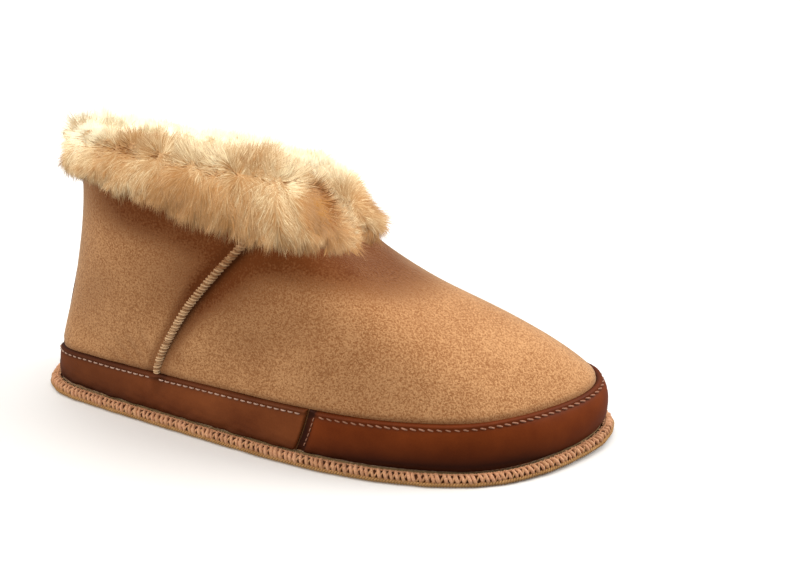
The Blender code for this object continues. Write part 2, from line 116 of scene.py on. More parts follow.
# One row per rib of the upper: how far from heel (0) to toe (1) it starts, where it ends at the collar,
# the handle that it leaves the feather line with, and the handle that it reaches the collar with.
RIB_COLUMNS = (
    "along", "collar_x", "collar_across", "collar_z",
    "foot_out", "foot_up", "down_x", "down_across", "down_z",
)
LATERAL_RIBS = [
    (0.00, -105.0, 0.0, 112.0, -5.0, 34.0, 4.0, 0.0, -36.0),
    (0.09, -98.5, 17.0, 112.5, -2.5, 34.0, 2.0, 1.0, -36.0),
    (0.22, -76.0, 29.0, 113.0, 1.5, 34.0, -2.0, 3.0, -37.0),
    (0.38, -38.0, 32.5, 111.0, 2.0, 34.0, 1.0, 5.0, -39.0),
    (0.52, -8.0, 30.0, 104.0, 2.5, 34.0, 8.0, 10.0, -37.0),
    (0.64, 6.0, 23.0, 95.0, 3.5, 34.0, 20.0, 17.0, -30.0),
    (0.76, 12.5, 15.0, 88.0, 4.5, 32.0, 34.0, 18.0, -23.0),
    (0.88, 16.5, 7.0, 83.5, 6.0, 32.0, 46.0, 10.0, -23.5),
    (1.00, 18.0, -3.0, 82.0, 10.0, 37.0, 54.0, -7.0, -27.0),
]
MEDIAL_RIBS = [
    (0.12, -96.5, 19.0, 111.5, -2.0, 34.0, 2.0, 1.5, -36.0),
    (0.25, -72.0, 31.0, 109.5, 1.0, 34.0, -2.0, 3.0, -36.0),
    (0.40, -36.0, 33.0, 106.0, 2.0, 34.0, 1.0, 4.0, -37.0),
    (0.54, -8.0, 30.0, 99.0, 2.5, 34.0, 8.0, 6.0, -34.0),
    (0.66, 6.0, 23.0, 91.5, 3.0, 32.0, 20.0, 10.0, -30.0),
    (0.78, 12.5, 17.0, 86.0, 3.5, 30.0, 34.0, 10.0, -25.5),
    (0.89, 16.5, 10.0, 83.0, 6.0, 31.0, 47.0, 9.0, -26.0),
]

# Cuff of wool, pressed thin under the heel strap. By s: how far it hangs below the collar, its thickness
# there, how much higher than its plain crown the wool stands, and its strands' length as a share
CUFF_THIN = 2.5
CUFF_THIN_HALF = 8.0
CUFF_FULL_HALF = 16.5
CUFF_CROWN_OUT = 9.0
CUFF_COLUMNS = ("s", "hang", "thick", "lift", "strand")
CUFF = [
    (0.000, 2.5, 8.0, 4.0, 0.45),
    (0.060, 2.0, 8.5, 10.0, 0.40),
    (0.120, 3.5, 9.0, 10.5, 0.50),
    (0.190, 8.0, 9.0, 10.5, 0.90),
    (0.260, 9.5, 9.0, 16.0, 1.05),
    (0.320, 5.0, 9.0, 22.0, 0.90),
    (0.380, 2.0, 7.5, 22.0, 0.80),
    (0.440, 2.0, 6.0, 14.5, 0.75),
    (0.500, 0.8, 6.5, 8.0, 0.60),
    (0.530, 0.2, 7.0, 9.5, 0.50),
    (0.555, 5.0, 11.0, 13.0, 1.00),
    (0.610, 7.0, 11.0, 12.5, 0.95),
    (0.670, 9.0, 10.0, 5.0, 0.95),
    (0.730, 10.0, 9.0, -2.0, 0.95),
    (0.800, 10.0, 9.0, -5.5, 0.90),
    (0.875, 7.5, 9.0, -5.5, 0.75),
    (0.940, 4.5, 8.5, 1.0, 0.55),
]

STRAP_COLUMNS = ("height", "half_width")
STRAP = [
    (5.6, 12.5),
    (20.0, 10.0),
    (50.0, 7.2),
    (80.0, 6.4),
    (110.5, 6.2),
]
STRAP_THICK = 1.2
STRAP_OVER_CUFF_FROM = 97.0
STRAP_OVER_CUFF_TO = 105.0
TAG_LENGTH = 11.0
TAG_FOOT = 42.0
TAG_TOP = 54.5
TAG_THICK = 2.2
LOOP_COLUMNS = ("back", "up")
LOOP = [
    (5.9, 0.3),
    (6.3, 3.4),
    (7.3, 6.2),
    (8.2, 8.0),
    (8.0, 9.4),
    (6.7, 10.0),
    (5.4, 9.2),
    (4.9, 6.3),
    (4.2, 3.6),
    (3.9, 1.2),
]
# Inside the strap the loop's curve closes through one more point, a step from its end and from its start
LOOP_RETURN = (4.6, 0.2)
LOOP_RETURN_STEP = 4.0
LOOP_HALF_WIDTH_FOOT = 6.2
LOOP_HALF_WIDTH_TOP = 7.2

# Side seam, from under the cuff down to the band: x where the seam passes each height
SEAM_COLUMNS = ("height", "x")
SEAM = [
    (14.0, -63.0),
    (25.0, -59.2),
    (32.0, -56.9),
    (43.0, -50.8),
    (58.0, -41.8),
    (74.0, -29.0),
    (87.0, -17.6),
    (100.0, -6.0),
]

# How far the suede puffs up beside the band and the strap, how fast that falls off, and where the
# heel's back ends
PUFF = 1.25
STRAP_PUFF = 1.45
PUFF_REACH = 9.0
HEEL_SIDE_X = -85.0

# How much each cause of shade darkens the suede, and how fast their sum nears the darkest
SUEDE_SHADES = {
    "band": 0.5, "groove": 0.8, "front": 2.4, "back": 2.1, "cuff": 2.5, "folds": 0.4, "vamp": 0.10,
}
SUEDE_SHADE_RATE = 1.1

# The cuff's section as corners of a closed curve, from the collar over the crown to the outer face: how
# far out from the collar and up along the skin, the share of the table's lift that raises the corner, and
# whether the outward part is pressed with the cuff's thickness
SECTION = [
    (0.3, -1.0, 0.00, False),
    (-4.0, 0.4, 0.00, False),
    (-7.2, 0.8, 0.00, False),
    (-8.4, 2.8, 0.28, False),
    (-6.6, 4.9, 0.58, False),
    (-1.6, 6.0, 0.74, False),
    (3.4, 4.8, 0.60, True),
    (6.8, 1.2, 0.16, True),
]
# Its last corners, at the hem: how far out, as a share of the thickness, and how far up
HEM_SECTION = [
    (0.72, 0.8),
    (0.45, -0.3),
    (0.00, 0.0),
]

# The wool grows on this part of the section. Clumps of wool round the cuff and across it, the notch in
# the hem at the toe end, and the place and radius of the ochre stain
WOOL_FROM = 0.17
WOOL_TO = 0.90
CLUMPS = (230, 17)
NOTCH_AT = 0.508
NOTCH_HALF = 0.038
STAIN_AT = (13.2, -17.9, 105.2)
STAIN_RADIUS = 6.5

# Distance of the stitch row below the band's top edge, and that edge's height where the seam meets it.
# A stitch shows over a share of the pitch, and its ends dive into their holes.
STITCH_INSET = 2.1
BAND_AT_SEAM = 24.1
STITCH_SHARE = 0.66
STITCH_DIVE = 0.45

# Width of the gap between the band's pieces, and length of their thinned, lapped ends
BAND_SLIP = 0.6
BAND_LAP = 3.3

# The copper dot on the tag, from its middle out: radius, and height over the tag
DOT = [
    (0.05, 0.22),
    (0.80, 0.22),
    (1.50, 0.21),
    (2.00, 0.17),
    (2.20, 0.08),
    (2.30, -0.25),
]

# The thread wound over the side seam, in two layers: where each starts and how far it slants, in
# pitches, its radius, and how high it stands
SEAM_LAYERS = [
    (0.0, 1.5, 0.40, 1.16),
    (0.5, 0.7, 0.30, 1.00),
]
# How far to each side it reaches, and the angle that it wraps to each side of the ridge's top
SEAM_REACH = 1.5
SEAM_WRAP = 1.7

# The sole edge's core bar, and a thread's way over it: distance in from the outline, and height
EDGE_CORE = [
    (1.0, 1.4),
    (0.75, 2.4),
    (0.95, 3.3),
    (1.7, 3.85),
    (3.0, 4.0),
    (4.6, 4.0),
    (4.6, 1.2),
    (3.4, 0.75),
    (1.9, 0.75),
]
EDGE_THREAD = [
    (3.6, 3.95),
    (2.8, 4.22),
    (2.0, 4.26),
    (1.2, 4.05),
    (0.65, 3.55),
    (0.45, 2.85),
    (0.50, 2.1),
    (0.9, 1.45),
    (1.8, 1.1),
]

# Soft creases in the suede: side, start and end on the side view, half width and depth (minus: ridge)
CREASE_COLUMNS = ("side", "x0", "z0", "x1", "z1", "width", "depth")
CREASES = [
    (-1, -63.0, 22.0, -74.0, 37.0, 1.6, 0.5),
    (-1, -67.0, 21.0, -80.0, 33.0, 1.6, 0.45),
    (-1, -72.0, 20.0, -86.0, 28.0, 1.8, 0.35),
    (-1, -60.0, 24.0, -66.0, 42.0, 1.6, 0.35),
    (-1, -50.0, 24.0, -44.0, 36.0, 2.0, 0.35),
    (1, -63.0, 22.0, -73.0, 36.0, 1.7, 0.45),
    (1, -68.0, 21.0, -82.0, 31.0, 1.7, 0.4),
    (1, -50.0, 24.0, -45.0, 35.0, 2.0, 0.35),
    (-1, -108.0, 40.0, -84.0, 62.0, 6.0, 0.5),
    (1, -106.0, 46.0, -80.0, 64.0, 6.0, 0.5),
    (-1, -20.0, 44.0, 20.0, 60.0, 7.0, 0.5),
    (1, -20.0, 50.0, 18.0, 58.0, 7.0, 0.5),
]

# The stage, in metres: half the floor's side, where the floor begins to glow and glows in full, the wall
# round it, and the height that the lamps and the camera aim at
FLOOR_HALF = 20.0
FLOOR_GLOW = (0.6, 2.5)
WALL_RADIUS = 8.0
WALL_HEIGHT = 6.0
AIM_HEIGHT = 0.05

# The lamps: name, place and size in metres, power in watts, and colour
LAMPS = [
    ("overhead", (0.0, 0.5, 1.9), (3.2, 3.2), 48.0, (1.0, 0.99, 0.97)),
    ("front", (-0.8, -1.1, 0.75), (1.2, 1.0), 12.0, (1.0, 0.92, 0.82)),
    ("key", (1.2, 0.45, 0.75), (0.8, 0.8), 13.0, (1.0, 0.97, 0.92)),
]


# ---------------------------------------------------------------------------------------------------
# Shape functions: the outline of the sole and the skin of the upper
# ---------------------------------------------------------------------------------------------------

def column(table, columns, name):
    """One named column of a short table."""
    return np.array([row[columns.index(name)] for row in table])


def look_up(table, columns, at):
    """A table's second value where its first is at, in straight lines between the rows."""
    return np.interp(at, column(table, columns, columns[0]), column(table, columns, columns[1]))


def smooth(value, low, high):
    """0 below low, 1 above high, and smooth between: 3r^2 - 2r^3."""
    ratio = np.clip((np.asarray(value, dtype=float) - low) / (high - low), 0.0, 1.0)
    return ratio * ratio * (3.0 - 2.0 * ratio)


def window(value, start, full, leave, end):
    """1 from full to leave, 0 before start and after end, and smooth between."""
    return smooth(value, start, full) * (1.0 - smooth(value, leave, end))


def bell(value, middle, width):
    """1 at the middle, lower to both sides: a Gaussian of that width."""
    return np.exp(-0.5 * ((value - middle) / width) ** 2)


def fade(distance, reach):
    """1 up to distance 0, then divided by e with every reach."""
    return np.exp(-np.clip(distance, 0.0, None) / reach)


def unit(vectors):
    """Vectors of length one."""
    return vectors / np.maximum(np.linalg.norm(vectors, axis=-1, keepdims=True), 1e-12)


def periodic_spline(knots, rows, at, period):
    """Closed curve with continuous second derivative through the rows at the knots, read at at."""
    rows = np.asarray(rows, dtype=float)
    knots = np.asarray(knots, dtype=float)
    count = len(rows)
    steps = np.diff(np.append(knots, knots[0] + period))
    system = np.zeros((count, count))
    slopes = np.zeros_like(rows)
    for i in range(count):
        j = (i + 1) % count
        system[i, i - 1] += steps[i - 1]
        system[i, i] += 2.0 * (steps[i - 1] + steps[i])
        system[i, j] += steps[i]
        slopes[i] = 6.0 * ((rows[j] - rows[i]) / steps[i] - (rows[i] - rows[i - 1]) / steps[i - 1])
    bend = np.linalg.solve(system, slopes)
    place = np.mod(np.asarray(at, dtype=float) - knots[0], period)
    i = np.clip(np.searchsorted(knots - knots[0], place, side="right") - 1, 0, count - 1)
    j = (i + 1) % count
    step = steps[i][:, None]
    ahead = (place - (knots[i] - knots[0]))[:, None]
    behind = step - ahead
    return (
        (bend[i] * behind ** 3 + bend[j] * ahead ** 3) / (6.0 * step)
        + (rows[i] / step - bend[i] * step / 6.0) * behind
        + (rows[j] / step - bend[j] * step / 6.0) * ahead
    )


def make_outline():
    """The sole's outline, sampled evenly on each side: points (x, y) and outward unit normals."""
    corners = np.array([
        (HEEL_BLUNT, 0.0),
        (0.036, -0.65 * HEEL_LATERAL),
        (0.140, -HEEL_LATERAL),
        (0.400, -WAIST_LATERAL),
        (0.640, -BALL_LATERAL),
        (0.860, TOE_TIP_Y - 1.00 * TOE_WIDTH),
        (0.966, TOE_TIP_Y - 0.47 * TOE_WIDTH),
        (1.000, TOE_TIP_Y),
        (0.970, TOE_TIP_Y + 0.34 * TOE_WIDTH),
        (0.875, TOE_TIP_Y + 0.485 * TOE_WIDTH),
        (0.720, BALL_MEDIAL),
        (0.420, WAIST_MEDIAL),
        (0.140, HEEL_MEDIAL),
        (0.036, 0.65 * HEEL_MEDIAL),
    ])
    corners[:, 0] = (corners[:, 0] - 0.5) * SOLE_LENGTH
    chords = np.sqrt(np.linalg.norm(np.roll(corners, -1, 0) - corners, axis=1))
    knots = np.append(0.0, np.cumsum(chords)[:-1])
    fine = periodic_spline(knots, corners, np.linspace(0.0, chords.sum(), 4001), chords.sum())
    tip = int(fine[:, 0].argmax())
    sides = []
    for side in (fine[:tip + 1], fine[tip:]):
        length = np.append(0.0, np.cumsum(np.linalg.norm(np.diff(side, axis=0), axis=1)))
        even = np.linspace(0.0, length[-1], 361)[:-1]
        sides.append(np.column_stack([np.interp(even, length, side[:, k]) for k in (0, 1)]))
    points = np.vstack(sides)
    along = unit(np.roll(points, -1, 0) - np.roll(points, 1, 0))
    return points, np.column_stack([along[:, 1], -along[:, 0]])


OUTLINE, OUTLINE_NORMALS = make_outline()
OUTLINE_LENGTH = np.append(
    0.0, np.cumsum(np.linalg.norm(np.roll(OUTLINE, -1, 0) - OUTLINE, axis=1)),
)
ALL_ROUND = OUTLINE_LENGTH[-1]


def sole_edge(s):
    """Points (x, y) of the sole's outline at s, and the outward unit normals there."""
    place = np.mod(np.asarray(s, dtype=float), 1.0) * len(OUTLINE)
    index = np.arange(len(OUTLINE) + 1)
    values = []
    for table in (OUTLINE, OUTLINE_NORMALS):
        closed = np.vstack([table, table[:1]])
        values.append(np.stack([np.interp(place, index, closed[:, k]) for k in (0, 1)], -1))
    points, normals = values
    return points, unit(normals)


def s_at_length(run):
    """The place s at a distance run along the outline from the heel."""
    return np.interp(run, OUTLINE_LENGTH, np.arange(len(OUTLINE_LENGTH)) / len(OUTLINE))


def s_by_length(count):
    """Places s that lie count equal steps apart along the outline."""
    return s_at_length(np.arange(count) / count * ALL_ROUND)


def from_heel(s):
    """Distance along the outline from the middle of the heel, to either side."""
    return np.minimum(s, 1.0 - s) * ALL_ROUND


def band_height(x):
    """Height of the leather band's top edge where the sole's outline passes x."""
    return look_up(BAND, BAND_COLUMNS, x)


def band_top(s):
    """Height of the leather band's top edge at s."""
    return band_height(sole_edge(s)[0][..., 0])


def seam_x(height):
    """Where the side seam passes a height."""
    return look_up(SEAM, SEAM_COLUMNS, height)


def strap_half(height):
    """Half the heel strap's width at a height."""
    return look_up(STRAP, STRAP_COLUMNS, height)


def make_ribs():
    """Both sides' ribs as one table round the shoe: their s, and collar, arriving and leaving handles."""
    places = []
    rows = []
    for table, side in ((LATERAL_RIBS, -1.0), (MEDIAL_RIBS[::-1], 1.0)):
        for values in table:
            rib = dict(zip(RIB_COLUMNS, values))
            half = rib["along"] / 2.0
            places.append(half if side < 0 else 1.0 - half)
            collar = (rib["collar_x"], side * rib["collar_across"], rib["collar_z"])
            down = (rib["down_x"], side * rib["down_across"], rib["down_z"])
            rows.append(collar + down + (rib["foot_out"], rib["foot_up"]))
    return places, rows


RIB_PLACES, RIB_ROWS = make_ribs()


def rib_handles(s):
    """The four control points of the rib at each s: feather line, two handles, collar."""
    s = np.asarray(s, dtype=float)
    edge, out = sole_edge(s.ravel())
    row = periodic_spline(RIB_PLACES, RIB_ROWS, s.ravel(), 1.0)
    collar = row[:, :3]
    arrive = collar + row[:, 3:6]
    foot = np.column_stack([edge - out * FEATHER_INSET, np.full(len(edge), FEATHER_Z)])
    leave = foot + np.column_stack([out * row[:, 6:7], row[:, 7]])
    return [part.reshape(s.shape + (3,)) for part in (foot, leave, arrive, collar)]


def upper_point(s, t):
    """The upper's outer skin: at s a cubic Bezier rib, followed by t from feather line to collar."""
    foot, leave, arrive, collar = rib_handles(s)
    t = np.asarray(t, dtype=float)[..., None]
    r = 1.0 - t
    return r ** 3 * foot + 3.0 * r * r * t * leave + 3.0 * r * t * t * arrive + t ** 3 * collar


def upper_slopes(s, t):
    """Derivatives of upper_point along s and along t."""
    step = 1e-4
    along = (upper_point(s + step, t) - upper_point(s - step, t)) / (2 * step)
    up = (upper_point(s, t + step) - upper_point(s, t - step)) / (2 * step)
    return along, up


def upper_normal(s, t):
    """Outward unit normal of the upper's skin."""
    along, up = upper_slopes(s, t)
    return unit(np.cross(along, up))


def upper_offset(s, t, lift):
    """The skin moved outward by lift."""
    lift = np.broadcast_to(lift, np.broadcast_shapes(np.shape(s), np.shape(t)))
    return upper_point(s, t) + upper_normal(s, t) * lift[..., None]


def t_at_height(s, height):
    """The t at which the rib at s passes a height, by Newton's rule on the rib's cubic."""
    foot, leave, arrive, collar = [part[..., 2] for part in rib_handles(s)]
    height = np.asarray(height, dtype=float)
    t = np.clip((height - foot) / (collar - foot), 0.0, 1.0)
    for _ in range(12):
        r = 1.0 - t
        value = r ** 3 * foot + 3 * r * r * t * leave + 3 * r * t * t * arrive + t ** 3 * collar
        slope = 3 * (r * r * (leave - foot) + 2 * r * t * (arrive - leave) + t * t * (collar - arrive))
        t = np.clip(t - (value - height) / slope, -0.05, 1.05)
    return t


def settle(points):
    """Toe spring, heel roll and arch, as a small rise of all that stands above them, then centring."""
    points = np.array(points, dtype=float)
    x = points[..., 0]
    y = points[..., 1]
    half = SOLE_LENGTH / 2.0
    toe = np.clip((x - TOE_SPRING_FROM) / (half - TOE_SPRING_FROM), 0.0, None)
    heel = np.clip((x - HEEL_ROLL_FROM) / (-half - HEEL_ROLL_FROM), 0.0, None)
    waist = np.clip(1.0 - ((x - ARCH_CENTRE_X) / ARCH_HALF_LENGTH) ** 2, 0.0, None)
    points[..., 2] += TOE_SPRING * toe ** 2 + HEEL_ROLL * heel ** 2
    points[..., 2] += ARCH_RISE * waist ** 2 * smooth(y, ARCH_FROM_Y, ARCH_TO_Y)
    points[..., 0] += CENTRE_X
    points[..., 1] += CENTRE_Y
    return points


def side_place(x, height, side):
    """The s on one side (-1 lateral, 1 medial) at which the skin passes each x at its height."""
    places = np.linspace(0.01, 0.49, 193)
    if side > 0:
        places = 1.0 - places
    x = np.atleast_1d(np.asarray(x, dtype=float))
    height = np.broadcast_to(np.asarray(height, dtype=float), x.shape)
    grid = np.broadcast_to(places[None, :], (len(x), len(places)))
    levels = t_at_height(grid, np.broadcast_to(height[:, None], grid.shape))
    skin = upper_point(grid, levels)[..., 0]
    return np.array([np.interp(a, row, places) for a, row in zip(x, skin)])


def waves(seed, count, around, across):
    """A soft random field f(s, c), periodic in s: a sum of cosine waves with seeded directions."""
    rng = np.random.default_rng(seed)
    n = rng.integers(-around, around + 1, count)
    m = rng.uniform(-across, across, count)
    phase = rng.uniform(0.0, 2.0 * math.pi, count)
    size = rng.uniform(0.5, 1.0, count)

    def field(s, c):
        total = 0.0
        for k in range(count):
            total = total + size[k] * np.cos(2.0 * math.pi * (n[k] * s + m[k] * c) + phase[k])
        return total / math.sqrt(count) * 1.6

    return field


def seam_distance(points):
    """Signed distance across the side seam, positive to the toe, on the side view."""
    z = points[..., 2]
    step = 4.0
    slope = (seam_x(z + step) - seam_x(z - step)) / (2.0 * step)
    return (points[..., 0] - seam_x(z)) / np.sqrt(1.0 + slope ** 2)


def crease_relief(points):
    """How far the suede is raised by its creases: each a trough, Gaussian across, cosine along."""
    x = points[..., 0]
    z = points[..., 2]
    side = np.where(points[..., 1] > 0.0, 1, -1)
    total = np.zeros(x.shape)
    for values in CREASES:
        row = dict(zip(CREASE_COLUMNS, values))
        dx = row["x1"] - row["x0"]
        dz = row["z1"] - row["z0"]
        length = math.hypot(dx, dz)
        along = ((x - row["x0"]) * dx + (z - row["z0"]) * dz) / length ** 2
        across = ((x - row["x0"]) * dz - (z - row["z0"]) * dx) / length
        body = bell(across, 0.0, row["width"])
        ends = window(along, -0.25, 0.25, 0.7, 1.3)
        total -= row["depth"] * body * ends * (side == row["side"])
    d = seam_distance(points)
    high = smooth(z, 18.0, 70.0)
    total -= (0.5 + 1.3 * high) * bell(d, 3.4, 2.0 + 1.5 * high)
    total -= 0.55 * bell(d, -2.6, 1.5)
    return total


def suede_lift(s, t):
    """Relief of the suede: its creases, a slight unevenness, and its puff beside the leather."""
    s, t = np.broadcast_arrays(s, t)
    points = upper_point(s, t)
    uneven = waves(3, 14, 9, 2.2)
    above = points[..., 2] - band_top(s)
    toe = 0.65 + 0.35 * smooth(points[..., 0], -40.0, 60.0)
    puff = PUFF * toe * smooth(above, -0.4, 2.2) * fade(above, PUFF_REACH)
    beside = np.abs(points[..., 1]) - strap_half(points[..., 2])
    heel = points[..., 0] < HEEL_SIDE_X
    ridge = STRAP_PUFF * smooth(beside, 0.1, 1.8) * fade(beside, PUFF_REACH) * heel
    return crease_relief(points) + 0.22 * uneven(s, t) + np.maximum(puff, ridge * smooth(above, -1.0, 3.0))


# ---------------------------------------------------------------------------------------------------
# Mesh making
# ---------------------------------------------------------------------------------------------------

def grid_quads(rows, columns, close_rows=False, close_columns=False, start=0):
    """Quads of a grid of vertices, joined at its ends where it closes."""
    r = np.arange(rows if close_rows else rows - 1)[:, None]
    c = np.arange(columns if close_columns else columns - 1)[None, :]
    ahead = (r + 1) % rows
    above = (c + 1) % columns
    corners = (r * columns + c, ahead * columns + c, ahead * columns + above, r * columns + above)
    return np.stack(np.broadcast_arrays(*corners), -1).reshape(-1, 4) + start


def add_piece(name, points, faces, material, nodes=(), uv=None, shade=None, flat=None, normals=None):
    """A finished object from points in millimetres and arrays of faces, riding on the slipper's body."""
    points = settle(np.asarray(points, dtype=float).reshape(-1, 3)) * METRE
    mesh = bpy.data.meshes.new(name)
    mesh.vertices.add(len(points))
    mesh.vertices.foreach_set("co", points.astype(np.float32).ravel())
    corners = np.concatenate([part.ravel() for part in faces]).astype(np.int32)
    counts = np.concatenate([np.full(len(part), part.shape[1]) for part in faces])
    mesh.loops.add(len(corners))
    mesh.loops.foreach_set("vertex_index", corners)
    mesh.polygons.add(len(counts))
    starts = np.append(0, np.cumsum(counts)[:-1]).astype(np.int32)
    mesh.polygons.foreach_set("loop_start", starts)
    if uv is not None:
        layer = mesh.uv_layers.new(name="OFBake")
        layer.data.foreach_set("uv", np.asarray(uv, dtype=np.float32)[corners].ravel())
    if shade is not None:
        attribute = mesh.attributes.new("shade", "FLOAT", "POINT")
        attribute.data.foreach_set("value", np.asarray(shade, dtype=np.float32).ravel())
    mesh.update(calc_edges=True)
    mesh.validate()
    mesh.shade_smooth()
    if flat is not None:
        mesh.set_sharp_from_angle(angle=math.radians(flat))
    if normals is not None:
        mesh.normals_split_custom_set_from_vertices(normals.reshape(-1, 3).astype(np.float32))
    mesh.materials.append(material)
    obj = bpy.data.objects.new(name, mesh)
    bpy.context.scene.collection.objects.link(obj)
    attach(obj, BODY)
    if nodes:
        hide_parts(*nodes)
    return obj


def add_threads(name, parts, material, shade=None):
    """Several sets of threads as one object."""
    points, faces = join(parts)
    add_piece(name, points, faces, material, shade=shade)


def ring_piece(sections):
    """Points and quads of a solid that closes round the shoe, from one closed section per place."""
    rows, columns = sections.shape[:2]
    return sections.reshape(-1, 3), [grid_quads(rows, columns, True, True)]


def slab(outside, inside):
    """Points and quads of a closed sheet between two grids of points of the same shape."""
    rows, columns = outside.shape[:2]
    count = rows * columns
    index = np.arange(count).reshape(rows, columns)
    faces = [grid_quads(rows, columns), grid_quads(rows, columns, start=count)[:, ::-1]]
    border = np.concatenate([index[:, 0], index[-1, 1:], index[-2::-1, -1], index[0, -2:0:-1]])
    ahead = np.roll(border, -1)
    faces.append(np.stack([ahead, border, border + count, ahead + count], -1))
    return np.concatenate([outside.reshape(-1, 3), inside.reshape(-1, 3)]), faces


def tubes(paths, normals, radii, sides=8, close=False):
    """Points and faces of many threads at once: round sections of the given radii along each path."""
    count, steps = paths.shape[:2]
    if close:
        tangent = np.roll(paths, -1, 1) - np.roll(paths, 1, 1)
    else:
        tangent = np.gradient(paths, axis=1)
    tangent = unit(tangent)
    side = unit(np.cross(tangent, normals))
    lift = np.cross(side, tangent)
    angle = np.arange(sides) / sides * 2.0 * math.pi
    radii = np.broadcast_to(radii, (count, steps))[..., None, None]
    ring = np.cos(angle)[:, None] * lift[:, :, None] + np.sin(angle)[:, None] * side[:, :, None]
    points = paths[:, :, None] + radii * ring
    quads = grid_quads(steps, sides, close, True)[:, ::-1]
    starts = (np.arange(count) * steps * sides)[:, None]
    faces = [(quads[None] + starts[:, :, None]).reshape(-1, 4)]
    if not close:
        first = np.arange(sides)[None, :]
        last = first[:, ::-1] + (steps - 1) * sides
        faces += [first + starts, last + starts]
    return points.reshape(-1, 3), faces


def join(parts):
    """One set of points and faces from several."""
    points = []
    faces = []
    start = 0
    for part_points, part_faces in parts:
        points.append(part_points)
        faces += [part + start for part in part_faces]
        start += len(part_points)
    return np.concatenate(points), faces


def flipped(faces):
    """The same faces, seen from the other side."""
    return [part[:, ::-1] for part in faces]


def edge_spaced(count, length, radius):
    """Places from 0 to 1 with extra ones close to both ends, for a rounded edge of that radius."""
    near = np.array([0.0, 0.06, 0.2, 0.45, 0.8]) * radius / length
    middle = np.linspace(1.2 * radius / length, 1.0 - 1.2 * radius / length, count)
    return np.concatenate([near, middle, 1.0 - near[::-1]])


def rounded(distance, radius):
    """Height of a rounded edge, as a share: a quarter circle from 0 at the edge to 1 at radius."""
    return np.sqrt(np.clip(1.0 - (1.0 - np.clip(distance / radius, 0.0, 1.0)) ** 2, 0.0, 1.0))


# ---------------------------------------------------------------------------------------------------
# Shader maths
# ---------------------------------------------------------------------------------------------------

class Value:
    """A shader socket whose arithmetic adds Math nodes."""

    def __init__(self, shader, socket):
        self.shader = shader
        self.socket = socket

    def math(self, operation, other):
        return self.shader.node("ShaderNodeMath", {"operation": operation}, {0: self, 1: other})

    def __add__(self, other):
        return self.math("ADD", other)

    def __sub__(self, other):
        return self.math("SUBTRACT", other)

    def __mul__(self, other):
        return self.math("MULTIPLY", other)

    __radd__ = __add__
    __rmul__ = __mul__

    def clamp(self):
        """Held between 0 and 1."""
        return self.shader.node("ShaderNodeMath", {"operation": "ADD", "use_clamp": True}, {0: self, 1: 0.0})

    def between(self, low, high):
        """0 at low, 1 at high, smooth and held outside."""
        return self.shader.node(
            "ShaderNodeMapRange", {"interpolation_type": "SMOOTHSTEP"},
            {"Value": self, "From Min": low, "From Max": high},
        )


class Shader:
    """One material: its nodes come from node(), its finish goes to the Principled node."""

    def __init__(self, name):
        self.material = bpy.data.materials.new(name)
        self.material.use_nodes = True
        self.tree = self.material.node_tree
        self.finish = self.tree.nodes["Principled BSDF"]
        self.object = None

    def node(self, kind, settings=None, sockets=None, output=0):
        """A node of a type: its settings are set first, then each socket gets its value or link."""
        node = self.tree.nodes.new(kind)
        for key, value in (settings or {}).items():
            setattr(node, key, value)
        for key, value in (sockets or {}).items():
            self.give(node.inputs[key], value)
        return Value(self, node.outputs[output])

    def give(self, socket, value):
        """Link a Value to a socket, or set a plain number or colour on it."""
        if isinstance(value, Value):
            self.tree.links.new(value.socket, socket)
        elif socket.type == "RGBA":
            socket.default_value = (*value, 1.0)
        else:
            socket.default_value = value

    def place(self):
        """Object coordinates, in metres."""
        if self.object is None:
            self.object = self.node("ShaderNodeTexCoord", output=3)
        return self.object

    def noise(self, size, detail, roughness):
        """Noise with features of about size metres."""
        return self.node("ShaderNodeTexNoise", {"noise_dimensions": "3D"}, {
            "Vector": self.place(), "Scale": 1.0 / size, "Detail": detail, "Roughness": roughness,
        })

    def cells(self, size):
        """Distance to the nearest of scattered points about size metres apart."""
        links = {"Vector": self.place(), "Scale": 1.0 / size}
        return self.node("ShaderNodeTexVoronoi", {"feature": "F1"}, links)

    def tone(self, *parts):
        """A number from 0 to 1 round 0.5, from noises and how much each one counts."""
        total = 0.5
        for noise, weight in parts:
            total = total + (noise - 0.5) * weight
        return total.clamp()

    def shade(self):
        """The piece's own shade attribute."""
        return self.node("ShaderNodeAttribute", {"attribute_name": "shade"}, output=2)

    def mix(self, factor, first, second):
        """A colour between two, by factor. Sockets 6 and 7 and output 2 are the node's colours."""
        return self.node("ShaderNodeMix", {"data_type": "RGBA"}, {0: factor, 6: first, 7: second}, 2)

    def ramp(self, factor, stops):
        """A colour by factor, from pairs of a place and the colour there."""
        value = self.node("ShaderNodeValToRGB", {}, {0: factor})
        elements = value.socket.node.color_ramp.elements
        while len(elements) < len(stops):
            elements.new(1.0)
        for element, (place, colour) in zip(elements, stops):
            element.position = place
            element.color = (*colour, 1.0)
        return value

    def bump(self, height, strength, distance, normal=None):
        """A bump from a height field, distance in metres."""
        sockets = {"Height": height, "Strength": strength, "Distance": distance}
        if normal is not None:
            sockets["Normal"] = normal
        return self.node("ShaderNodeBump", {}, sockets)

    def set(self, **values):
        """Give the Principled node's sockets their values, by name with underscores for spaces.

        What glows is seen to glow, but isn't one of the lamps.
        """
        self.material.cycles.emission_sampling = "NONE"
        for key, value in values.items():
            self.give(self.finish.inputs[key.replace("_", " ")], value)
        return self.material


